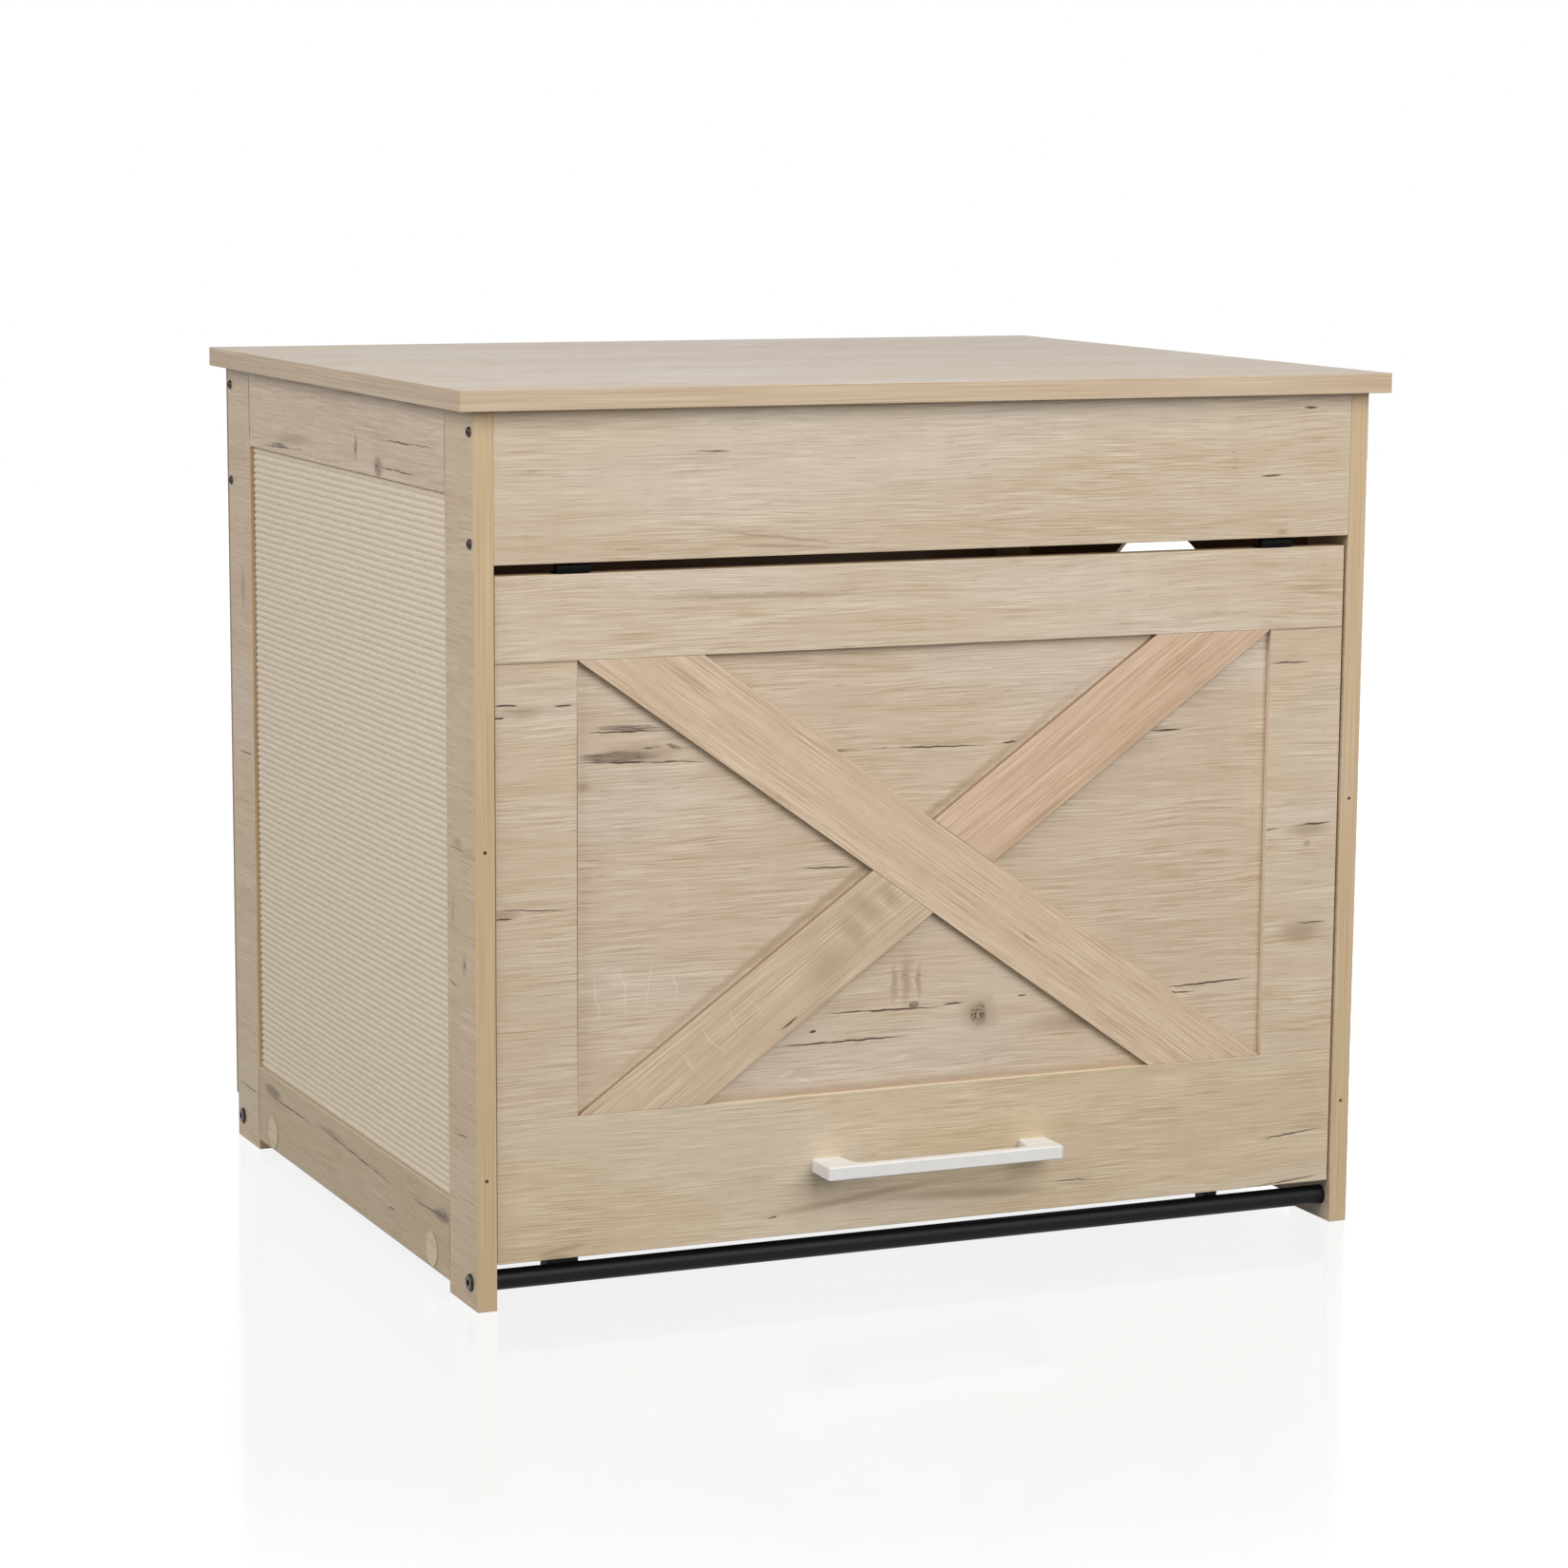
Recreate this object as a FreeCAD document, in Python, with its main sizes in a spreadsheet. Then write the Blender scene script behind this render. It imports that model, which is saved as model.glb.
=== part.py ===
import FreeCAD, Part
import os
import re
import Sketcher
from FreeCAD import Placement, Rotation, Vector

# Cat house: a flat-pack oak cabinet with a framed scratch-mat side, a side with a round entrance,
# two steel tubes near the floor and a cross-braced flap door hung on hinges under the fascia.
# Millimetres, +Z up, front towards -Y, origin on the floor under the middle of the whole object.

sizes = {
    # Cabinet
    "house_width": 768,
    "side_depth": 648,
    "side_height": 690,
    "board": 16,
    "edge_round": 0.6,
    "top_side_overhang": 14,
    "top_front_overhang": 12,
    "fascia_height": 115.5,
    "back_thickness": 8,
    "back_floor_gap": 37,
    "back_inset": 1,
    # Framed sides
    "stile_width": 65.5,
    "side_rail_width": 66,
    "side_rail_lift": 9.2,
    "groove_lip": 4,
    "groove_depth": 6,
    "groove_play": 0.5,
    "infill_thickness": 4,
    "mat_thickness": 5,
    "mat_margin": 0.5,
    "entrance_radius": 140,
    "entrance_top_margin": 71,
    # Tubes between the sides
    "tube_radius": 8,
    "tube_wall": 1.5,
    "tube_height": 20.5,
    "tube_setback": 16,
    "insert_length": 20,
    "bolt_radius": 4,
    "bolt_length": 32,
    "bolt_head_radius": 7,
    "bolt_head_height": 2.4,
    "bolt_head_rim": 1.4,
    "bolt_head_chamfer": 1.2,
    "bolt_socket_radius": 2.9,
    "bolt_socket_depth": 3,
    # Screws, dowels and cam locks of the cabinet
    "fit_play": 0.05,
    "hole_play": 1,
    "rail_screw_radius": 2,
    "rail_screw_length": 40,
    "rail_screw_head_radius": 4.2,
    "rail_screw_head_height": 2.6,
    "rail_screw_margin": 16,
    "pilot_radius": 1.5,
    "pilot_depth": 20,
    "pilot_low": 103,
    "pilot_high": 357.5,
    "back_screw_length": 18,
    "back_screw_head_radius": 3.5,
    "back_screw_head_height": 2.2,
    "back_screw_spacing": 240,
    "dowel_radius": 4,
    "dowel_length": 30,
    "dowel_margin": 14,
    "cam_radius": 7.5,
    "cam_floor": 2.5,
    "cam_rise": 15.5,
    "cam_setback": 42.5,
    "cam_bolt_radius": 3,
    "cam_bolt_grip": 11,
    "sticker_radius": 14,
    "sticker_thickness": 0.4,
    "bracket_leg": 25,
    "bracket_width": 20,
    "bracket_thickness": 2,
    "bracket_hole_reach": 16,
    "bracket_end_distance": 120,
    "bracket_screw_radius": 1.75,
    "bracket_screw_length": 12,
    "bracket_screw_head_radius": 3.4,
    "bracket_screw_head_height": 2,
    # Flap door
    "door_floor_gap": 35.5,
    "door_top_gap": 8.5,
    "door_side_gap": 1.4,
    "door_recess": 3,
    "door_frame_thickness": 6,
    "door_panel_thickness": 9,
    "door_stile_width": 66.5,
    "door_top_rail_width": 66,
    "door_bottom_rail_width": 111.5,
    "brace_end_cut": 104,
    # Bow handle
    "handle_length": 206,
    "handle_projection": 33,
    "handle_height": 11,
    "handle_rise": 54.5,
    "handle_bar": 9,
    "handle_foot": 24,
    "handle_foot_flare": 4,
    "handle_inner_round": 7,
    "handle_outer_round": 2.5,
    "handle_edge_round": 1.2,
    "handle_screw_inset": 7,
    "handle_screw_radius": 2,
    "handle_screw_length": 25,
    "handle_screw_head_radius": 4,
    "handle_screw_head_height": 2.4,
    # Hinges
    "hinge_width": 28,
    "hinge_end_distance": 63.5,
    "hinge_setback": 2,
    "hinge_play": 0.5,
    "hinge_leaf": 1.2,
    "hinge_knuckle": 10,
    "hinge_knuckle_gap": 0.3,
    "hinge_edge_inset": 1,
    "hinge_hole_margin": 3.5,
    "hinge_hole_inset": 7.5,
    "hinge_pin_radius": 1.2,
    "small_screw_radius": 1.2,
    "small_screw_length": 12,
    "small_screw_head_radius": 2.3,
    "small_screw_head_height": 1.2,
    # Magnetic catch and stop on the front tube
    "catch_width": 26,
    "catch_end_distance": 60.7,
    "catch_gap": 0.3,
    "stop_width": 13,
    "stop_end_distance": 102.5,
    "stop_pad_radius": 4.5,
    "stop_pad_thickness": 3,
    "block_wall": 10,
    "block_drop": 6,
    "block_rise": 13,
    "magnet_side_wall": 3,
    "magnet_depth": 5,
    "magnet_height": 14,
    "magnet_drop": 5,
    "strike_width": 46,
    "strike_height": 16,
    "strike_thickness": 1.5,
    "strike_rise": 2,
    "strike_hole_inset": 4,
    "strike_screw_length": 7,
    "block_screw_radius": 1.75,
    "block_screw_length": 16,
    "block_screw_head_radius": 3.4,
    "block_screw_head_height": 2,
}

# Places and sizes that follow from the driving dimensions
places = {
    "inner_half": "house_width / 2 - board",
    "front": "(handle_projection - door_recess - side_depth - back_thickness - back_screw_head_height) / 2",
    "rear": "front + side_depth",
    "back_face": "rear + back_thickness",
    "seam_front": "front + stile_width",
    "seam_rear": "rear - stile_width",
    "side_rail_length": "side_depth - 2 * stile_width",
    "opening_bottom": "side_rail_lift + side_rail_width",
    "opening_top": "side_height - side_rail_width",
    "groove_cut": "groove_depth + groove_play",
    "infill_depth": "board - groove_lip - infill_thickness",
    "mat_recess": "infill_depth - mat_thickness",
    "entrance_z": "opening_top - entrance_top_margin - entrance_radius",
    "cam_height": "side_rail_lift + cam_rise",
    "fascia_bottom": "side_height - fascia_height",
    "tube_front": "front + tube_setback",
    "tube_rear": "rear - tube_setback",
    "bracket_x": "inner_half - bracket_end_distance",
    "door_width": "2 * inner_half - 2 * door_side_gap",
    "door_top": "fascia_bottom - door_top_gap",
    "door_height": "door_top - door_floor_gap",
    "door_face": "front + door_recess",
    "panel_face": "door_face + door_frame_thickness",
    "door_back": "panel_face + door_panel_thickness",
    "field_half": "door_width / 2 - door_stile_width",
    "field_bottom": "door_floor_gap + door_bottom_rail_width",
    "field_top": "door_top - door_top_rail_width",
    "field_rise": "(field_top - field_bottom) / 2",
    "crossing_rise": "field_rise * brace_end_cut / (2 * field_half - brace_end_cut)",
    "handle_z": "door_floor_gap + handle_rise",
    "handle_inner": "handle_projection - handle_bar",
    "hinge_x": "door_width / 2 - hinge_end_distance",
    "hinge_hole_x": "hinge_width / 2 - hinge_hole_inset",
    "hinge_y": "door_face + hinge_setback",
    "hinge_z": "door_top + door_top_gap / 2",
    "knuckle_radius": "door_top_gap / 2 - hinge_play",
    "middle_knuckle": "hinge_width - 2 * hinge_knuckle - 2 * hinge_knuckle_gap",
    "fascia_leaf_end": "front + board - hinge_edge_inset",
    "door_leaf_end": "door_back - hinge_edge_inset",
    "catch_x": "catch_end_distance - inner_half",
    "stop_x": "inner_half - stop_end_distance",
    "catch_face": "door_back + strike_thickness + catch_gap",
    "stop_face": "door_back + catch_gap",
    "block_back": "tube_front + tube_radius + block_wall",
    "block_bottom": "tube_height - block_drop",
    "block_top": "door_floor_gap + block_rise",
    "magnet_width": "catch_width - 2 * magnet_side_wall",
    "magnet_bottom": "door_floor_gap - magnet_drop",
    "strike_bottom": "door_floor_gap + strike_rise",
}

# Turns that point a piece's own +Z along each direction
turns = {
    "+X": Rotation(Vector(0, 1, 0), 90),
    "-X": Rotation(Vector(0, 1, 0), -90),
    "+Y": Rotation(Vector(1, 0, 0), -90),
    "-Y": Rotation(Vector(1, 0, 0), 90),
    "+Z": Rotation(),
    "-Z": Rotation(Vector(1, 0, 0), 180),
    "half turn": Rotation(Vector(0, 0, 1), 180),
}
opposite = {"+X": "-X", "-X": "+X", "+Y": "-Y", "-Y": "+Y", "+Z": "-Z", "-Z": "+Z"}

doc = FreeCAD.newDocument("cat_house")
sheet = doc.addObject("Spreadsheet::Sheet", "size")
for row, (alias, value) in enumerate(sizes.items(), start=1):
    sheet.set(f"A{row}", alias)
    sheet.set(f"B{row}", str(value))
    sheet.setAlias(f"B{row}", alias)
doc.recompute()

nodes = {}
corners_of = {}
tiny = 1e-6


def formula(text):
    # A formula in size names and place names, written out in cells of the sheet
    def cell(match):
        word = match.group(0)
        if word in places:
            return "(" + formula(places[word]) + ")"
        return "size." + word if word in sizes else word
    return re.sub(r"[a-z_]+", cell, text)


def number(text):
    return float(sheet.evalExpression(formula(text)))


def bind(item, **properties):
    for name, text in properties.items():
        item.setExpression(name, formula(text))


def place(item, x, y, z):
    for axis, text in zip("xyz", (x, y, z)):
        item.setExpression(f"Placement.Base.{axis}", formula(text))


def new_body(label, at, is_node=True):
    body = doc.addObject("PartDesign::Body", label)
    body.Label = label
    place(body, *at)
    corners_of[body.Name] = at
    if is_node:
        nodes[body] = 1
    return body


def local(body, at):
    # A point of the whole object, seen from the body's own corner
    return [f"({point}) - ({corner})" for point, corner in zip(at, corners_of[body.Name])]


def block(body, size, at, kind="Additive"):
    solid = body.newObject(f"PartDesign::{kind}Box", f"{body.Name}_{kind.lower()}_box")
    bind(solid, Length=size[0], Width=size[1], Height=size[2])
    place(solid, *local(body, at))
    return solid


def rod(body, direction, radius, length, at, kind="Additive"):
    solid = body.newObject(f"PartDesign::{kind}Cylinder", f"{body.Name}_{kind.lower()}_rod")
    bind(solid, Radius=radius, Height=length)
    solid.Placement = Placement(Vector(), turns[direction])
    place(solid, *local(body, at))
    return solid


def cut(body, size, at):
    return block(body, size, at, "Subtractive")


def bore(body, direction, radius, depth, at):
    return rod(body, direction, radius, depth, at, "Subtractive")


def round_edges(body, base, names, radius):
    feature = body.newObject("PartDesign::Fillet", f"{body.Name}_rounding")
    feature.Base = (base, names)
    bind(feature, Radius=radius)
    return feature


def board_piece(label, size, at, rounded=True):
    # A square-cut board with its edges broken by a small round
    body = new_body(label, at)
    blank = block(body, size, at)
    if rounded:
        round_edges(body, blank, [f"Edge{index}" for index in range(1, 13)], "edge_round")
    return body


def pin_vertex(sketch, index, vertex):
    # Ties one corner of an outline to the sketch's origin by its two signed distances
    for kind, axis, text in zip(("DistanceX", "DistanceY"), (-2, -1), vertex):
        value = number(text)
        if abs(value) < tiny:
            sketch.addConstraint(Sketcher.Constraint("PointOnObject", index, 1, axis))
            continue
        ends = (-1, 1, index, 1) if value > 0 else (index, 1, -1, 1)
        signed = text if value > 0 else f"-({text})"
        which = sketch.addConstraint(Sketcher.Constraint(kind, *ends, abs(value)))
        sketch.setExpression(f"Constraints[{which}]", formula(signed))


def prism(label, plane, outline, length, at):
    # A straight-sided outline, drawn on one of the body's planes and padded
    body = new_body(label, at)
    sketch = body.newObject("Sketcher::SketchObject", f"{label}_outline")
    support = [item for item in body.Origin.OriginFeatures if item.Role == plane][0]
    sketch.AttachmentSupport = [(support, "")]
    sketch.MapMode = "FlatFace"
    points = [Vector(number(x), number(y), 0) for x, y in outline]
    count = len(points)
    for index in range(count):
        sketch.addGeometry(Part.LineSegment(points[index], points[(index + 1) % count]), False)
    for index in range(count):
        sketch.addConstraint(Sketcher.Constraint("Coincident", index, 2, (index + 1) % count, 1))
    for index, vertex in enumerate(outline):
        pin_vertex(sketch, index, vertex)
    pad = body.newObject("PartDesign::Pad", f"{label}_pad")
    pad.Profile = sketch
    bind(pad, Length=length)
    doc.recompute()
    return body, pad


def shank(name, radius, length):
    # Plain shank of a screw or bolt, with its head's seat at the origin and its tip below
    body = new_body(name, ("0", "0", "0"), is_node=False)
    rod(body, "-Z", radius, length, ("0", "0", "0"))
    return body


def screw(name, radius, length, head_radius, head_height):
    # Domed head with a cross recess
    body = shank(name, radius, length)
    dome = body.newObject("PartDesign::AdditiveEllipsoid", f"{name}_dome")
    bind(dome, Radius1=head_height, Radius2=head_radius, Radius3=head_radius)
    dome.Angle1 = 0
    dome.Angle2 = 90
    dome.Angle3 = 360
    for long_x in (True, False):
        arm_length, arm_width = head_radius, f"{head_radius} / 5"
        wide, deep = (arm_length, arm_width) if long_x else (arm_width, arm_length)
        cut(body, (wide, deep, head_height), (f"-{wide} / 2", f"-{deep} / 2", f"{head_height} / 2"))
    return body


def wafer_bolt(name):
    # Flat wide head: a straight rim, a chamfer above it and a hexagon socket
    body = shank(name, "bolt_radius", "bolt_length")
    rod(body, "+Z", "bolt_head_radius", "bolt_head_rim", ("0", "0", "0"))
    chamfer = body.newObject("PartDesign::AdditiveCone", f"{name}_chamfer")
    bind(chamfer, Radius1="bolt_head_radius", Radius2="bolt_head_radius - bolt_head_chamfer",
         Height="bolt_head_height - bolt_head_rim")
    place(chamfer, "0", "0", "bolt_head_rim")
    recess = body.newObject("PartDesign::SubtractivePrism", f"{name}_socket")
    recess.Polygon = 6
    bind(recess, Circumradius="bolt_socket_radius", Height="bolt_socket_depth")
    place(recess, "0", "0", "bolt_head_height - bolt_socket_depth")
    return body


def scatter(label, master, sites):
    # Copies of one piece, each turned and set at its own site, kept together as one group
    copies = []
    for turn, x, y, z in sites:
        copy = doc.addObject("App::Link", f"{label}_copy")
        copy.LinkedObject = master
        copy.Placement = Placement(Vector(), turns[turn])
        place(copy, x, y, z)
        copies.append(copy)
    group = doc.addObject("Part::Compound", label)
    group.Label = label
    group.Links = copies
    nodes[group] = len(copies)
    return group


# The two sides, told apart by where their outer faces are and which way leads inwards
outer_face = {"left": "-house_width / 2", "right": "house_width / 2"}
low_corner = {"left": "-house_width / 2", "right": "inner_half"}
middle = {"left": "board / 2 - house_width / 2", "right": "house_width / 2 - board / 2"}
inner_face = {"left": "-inner_half", "right": "inner_half"}
inwards = {"left": "+X", "right": "-X"}
hands = ("left", "right")


def layer(hand, depth, thickness):
    # Low X of a layer that lies at a depth under one side's outer face
    if hand == "left":
        return f"{depth} - house_width / 2"
    return f"house_width / 2 - {depth} - {thickness}"


# Heights and setbacks shared by the holes and what goes into them
screw_heights = ("side_height - rail_screw_margin", "fascia_bottom + rail_screw_margin")
pilot_heights = ("pilot_low", "pilot_high")
top_dowels = ("side_height - dowel_margin", "opening_top + dowel_margin")
low_dowels = ("opening_bottom - dowel_margin",)
cam_places = {"front": "seam_front + cam_setback", "rear": "seam_rear - cam_setback"}
seams = {"front": "seam_front", "rear": "seam_rear"}
into_stile = {"front": "-Y", "rear": "+Y"}
stile_corner = {"front": "front", "rear": "seam_rear"}
edge_face = {"front": "front", "rear": "rear"}
fascia_middle = {"front": "front + board / 2", "rear": "rear - board / 2"}
tube_line = {"front": "tube_front", "rear": "tube_rear"}
ends = ("front", "rear")


def stile(hand, end):
    # Upright board of a side, which also stands on the floor
    body = board_piece(f"{hand}_{end}_stile", ("board", "stile_width", "side_height"),
                       (low_corner[hand], stile_corner[end], "0"))
    for height in screw_heights:
        bore(body, inwards[hand], "rail_screw_radius + fit_play", "board",
             (outer_face[hand], fascia_middle[end], height))
    bore(body, inwards[hand], "bolt_radius + fit_play", "board",
         (outer_face[hand], tube_line[end], "tube_height"))
    for height in pilot_heights:
        bore(body, opposite[into_stile[end]], "pilot_radius", "pilot_depth",
             (middle[hand], edge_face[end], height))
    for height in top_dowels + low_dowels:
        bore(body, into_stile[end], "dowel_radius + fit_play", "dowel_length / 2 + hole_play",
             (middle[hand], seams[end], height))
    bore(body, into_stile[end], "cam_bolt_radius + fit_play", "cam_bolt_grip + hole_play",
         (middle[hand], seams[end], "cam_height"))
    groove_y = "seam_front - groove_cut" if end == "front" else "seam_rear"
    cut(body, ("infill_thickness", "groove_cut", "opening_top - opening_bottom + 2 * groove_cut"),
        (layer(hand, "infill_depth", "infill_thickness"), groove_y, "opening_bottom - groove_cut"))
    return body


def side_rail(hand, level):
    # Level board between the two stiles of a side
    is_top = level == "top"
    body = board_piece(f"{hand}_{level}_rail", ("board", "side_rail_length", "side_rail_width"),
                       (low_corner[hand], "seam_front", "opening_top" if is_top else "side_rail_lift"))
    for end in ends:
        for height in top_dowels if is_top else low_dowels:
            bore(body, opposite[into_stile[end]], "dowel_radius + fit_play", "dowel_length / 2 + hole_play",
                 (middle[hand], seams[end], height))
        if not is_top:
            bore(body, opposite[into_stile[end]], "cam_bolt_radius + fit_play", "cam_setback",
                 (middle[hand], seams[end], "cam_height"))
            bore(body, inwards[hand], "cam_radius + fit_play", "board - cam_floor",
                 (outer_face[hand], cam_places[end], "cam_height"))
    cut(body, ("infill_thickness", "side_rail_length", "groove_cut"),
        (layer(hand, "infill_depth", "infill_thickness"), "seam_front",
         "opening_top" if is_top else "opening_bottom - groove_cut"))
    return body


def infill(hand):
    # Thin board whose edges sit in the grooves of the frame
    return board_piece(f"{hand}_infill_panel",
                       ("infill_thickness", "side_rail_length + 2 * groove_depth",
                        "opening_top - opening_bottom + 2 * groove_depth"),
                       (layer(hand, "infill_depth", "infill_thickness"), "seam_front - groove_depth",
                        "opening_bottom - groove_depth"), rounded=False)


for hand in hands:
    for end in ends:
        stile(hand, end)
    for level in ("top", "bottom"):
        side_rail(hand, level)

# Scratch mat on the left side's thin board, and the cat's round entrance in the right side's
infill("left")
board_piece("left_scratch_mat",
            ("mat_thickness", "side_rail_length - 2 * mat_margin",
             "opening_top - opening_bottom - 2 * mat_margin"),
            (layer("left", "mat_recess", "mat_thickness"), "seam_front + mat_margin",
             "opening_bottom + mat_margin"), rounded=False)
bore(infill("right"), "-X", "entrance_radius", "infill_thickness",
     ("house_width / 2 - infill_depth", "(front + rear) / 2", "entrance_z"))

# Top, fascia, rear rail and back
top_panel = board_piece("top_panel", ("house_width + 2 * top_side_overhang",
                                      "top_front_overhang + side_depth + back_thickness", "board"),
                        ("-house_width / 2 - top_side_overhang", "front - top_front_overhang", "side_height"))
front_fascia = board_piece("front_fascia", ("2 * inner_half", "board", "fascia_height"),
                           ("-inner_half", "front", "fascia_bottom"))
rear_rail = board_piece("rear_rail", ("2 * inner_half", "board", "fascia_height"),
                        ("-inner_half", "rear - board", "fascia_bottom"))
back_panel = board_piece("back_panel", ("house_width - 2 * back_inset", "back_thickness",
                                        "side_height - back_floor_gap"),
                         ("back_inset - house_width / 2", "rear", "back_floor_gap"))

for rail, end in ((front_fascia, "front"), (rear_rail, "rear")):
    for hand in hands:
        for height in screw_heights:
            bore(rail, inwards[hand], "rail_screw_radius + fit_play",
                 "rail_screw_length - board + hole_play", (inner_face[hand], fascia_middle[end], height))

rail_screw = screw("rail_screw", "rail_screw_radius", "rail_screw_length", "rail_screw_head_radius",
                   "rail_screw_head_height")
scatter("rail_screws", rail_screw,
        [(opposite[inwards[hand]], outer_face[hand], fascia_middle[end], height)
         for hand in hands for end in ends for height in screw_heights])

# Back panel's screws, into the rear edges of the sides and into the rear rail
back_sites = [(middle[hand], height) for hand in hands for height in pilot_heights]
rail_sites = [(x, "side_height - fascia_height / 2")
              for x in ("-back_screw_spacing", "0", "back_screw_spacing")]
for x, height in back_sites + rail_sites:
    bore(back_panel, "-Y", "pilot_radius", "back_thickness", (x, "back_face", height))
for x, height in rail_sites:
    bore(rear_rail, "-Y", "pilot_radius", "back_screw_length - back_thickness + hole_play",
         (x, "rear", height))
back_screw = screw("back_screw", "pilot_radius - fit_play", "back_screw_length", "back_screw_head_radius",
                   "back_screw_head_height")
scatter("back_screws", back_screw, [("+Y", x, "back_face", height) for x, height in back_sites + rail_sites])

# Dowels and cam locks between the side rails and the stiles, with stickers over the cams
dowel = new_body("dowel", ("0", "0", "0"), is_node=False)
rod(dowel, "+Z", "dowel_radius", "dowel_length", ("0", "0", "-dowel_length / 2"))
scatter("rail_dowels", dowel, [("+Y", middle[hand], seams[end], height)
                               for hand in hands for end in ends for height in top_dowels + low_dowels])

cam = new_body("cam", ("0", "0", "0"), is_node=False)
rod(cam, "-Z", "cam_radius", "board - cam_floor", ("0", "0", "0"))
bore(cam, "+Y", "cam_bolt_radius + fit_play", "2 * cam_radius", ("0", "-cam_radius", "-board / 2"))
cam_sites = [(opposite[inwards[hand]], outer_face[hand], cam_places[end], "cam_height")
             for hand in hands for end in ends]
scatter("cam_locks", cam, cam_sites)

cam_bolt = new_body("cam_bolt", ("0", "0", "0"), is_node=False)
rod(cam_bolt, "+Z", "cam_bolt_radius", "cam_setback + cam_bolt_grip", ("0", "0", "-cam_setback"))
scatter("cam_bolts", cam_bolt, [(into_stile[end], middle[hand], seams[end], "cam_height")
                                for hand in hands for end in ends])

sticker = new_body("sticker", ("0", "0", "0"), is_node=False)
rod(sticker, "+Z", "sticker_radius", "sticker_thickness", ("0", "0", "0"))
scatter("cover_stickers", sticker, cam_sites)

# Steel angles under the top, and their screws
bracket = new_body("bracket", ("0", "0", "0"), is_node=False)
block(bracket, ("bracket_width", "bracket_thickness", "bracket_leg"),
      ("-bracket_width / 2", "0", "-bracket_leg"))
block(bracket, ("bracket_width", "bracket_leg", "bracket_thickness"),
      ("-bracket_width / 2", "0", "-bracket_thickness"))
bore(bracket, "+Y", "bracket_screw_radius + fit_play", "bracket_thickness", ("0", "0", "-bracket_hole_reach"))
bore(bracket, "-Z", "bracket_screw_radius + fit_play", "bracket_thickness", ("0", "bracket_hole_reach", "0"))
bracket_rows = [("+Z", "front + board", "", "+Y"), ("half turn", "rear - board", "-", "-Y")]
bracket_hole = ("bracket_screw_radius + fit_play", "bracket_screw_length - bracket_thickness + hole_play")
bracket_sites = []
bracket_screw_sites = []
for turn, wall, sign, away in bracket_rows:
    for x in ("-bracket_x", "bracket_x"):
        bracket_sites.append((turn, x, wall, "side_height"))
        wall_height = "side_height - bracket_hole_reach"
        bracket_screw_sites.append((away, x, f"{wall} + {sign}bracket_thickness", wall_height))
        reach = f"{wall} + {sign}bracket_hole_reach"
        bracket_screw_sites.append(("-Z", x, reach, "side_height - bracket_thickness"))
        rail = front_fascia if away == "+Y" else rear_rail
        bore(rail, opposite[away], *bracket_hole, (x, wall, wall_height))
        bore(top_panel, "+Z", *bracket_hole, (x, reach, "side_height"))
scatter("top_brackets", bracket, bracket_sites)
bracket_screw = screw("bracket_screw", "bracket_screw_radius", "bracket_screw_length",
                      "bracket_screw_head_radius", "bracket_screw_head_height")
scatter("bracket_screws", bracket_screw, bracket_screw_sites)

# Tubes between the sides, their threaded plugs and the bolts through the stiles
tubes = {}
for end in ends:
    start = ("-inner_half", tube_line[end], "tube_height")
    tubes[end] = new_body(f"{end}_tube", start)
    rod(tubes[end], "+X", "tube_radius", "2 * inner_half", start)
    bore(tubes[end], "+X", "tube_radius - tube_wall", "2 * inner_half", start)

insert = new_body("insert", ("0", "0", "0"), is_node=False)
rod(insert, "-Z", "tube_radius - tube_wall - fit_play", "insert_length", ("0", "0", "0"))
bore(insert, "-Z", "bolt_radius + fit_play", "insert_length", ("0", "0", "0"))
scatter("tube_inserts", insert, [(opposite[inwards[hand]], inner_face[hand], tube_line[end], "tube_height")
                                 for hand in hands for end in ends])
scatter("tube_bolts", wafer_bolt("tube_bolt"),
        [(opposite[inwards[hand]], outer_face[hand], tube_line[end], "tube_height")
         for hand in hands for end in ends])

# Door panel with its applied frame
door_panel = board_piece("door_panel", ("door_width", "door_panel_thickness", "door_height"),
                         ("-door_width / 2", "panel_face", "door_floor_gap"))
board_piece("door_top_rail", ("door_width", "door_frame_thickness", "door_top_rail_width"),
            ("-door_width / 2", "door_face", "field_top"))
door_bottom_rail = board_piece("door_bottom_rail",
                               ("door_width", "door_frame_thickness", "door_bottom_rail_width"),
                               ("-door_width / 2", "door_face", "door_floor_gap"))
for hand, low_x in (("left", "-door_width / 2"), ("right", "field_half")):
    board_piece(f"door_{hand}_stile",
                ("door_stile_width", "door_frame_thickness", "field_top - field_bottom"),
                (low_x, "door_face", "field_bottom"))

# Cross braces: one strip runs through, and the other is two halves that butt against it
brace_outlines = {
    "door_brace_long": [("-field_half", "field_rise"), ("brace_end_cut - field_half", "field_rise"),
                        ("field_half", "-field_rise"), ("field_half - brace_end_cut", "-field_rise")],
    "door_brace_upper": [("field_half - brace_end_cut", "field_rise"), ("field_half", "field_rise"),
                         ("brace_end_cut / 2", "0"), ("0", "crossing_rise")],
    "door_brace_lower": [("brace_end_cut - field_half", "-field_rise"), ("-field_half", "-field_rise"),
                         ("-brace_end_cut / 2", "0"), ("0", "-crossing_rise")],
}
for label, outline in brace_outlines.items():
    brace, pad = prism(label, "XZ_Plane", outline, "door_frame_thickness",
                       ("0", "panel_face", "field_bottom + field_rise"))
    round_edges(brace, pad, [f"Edge{index + 1}" for index in range(len(pad.Shape.Edges))], "edge_round")

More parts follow.
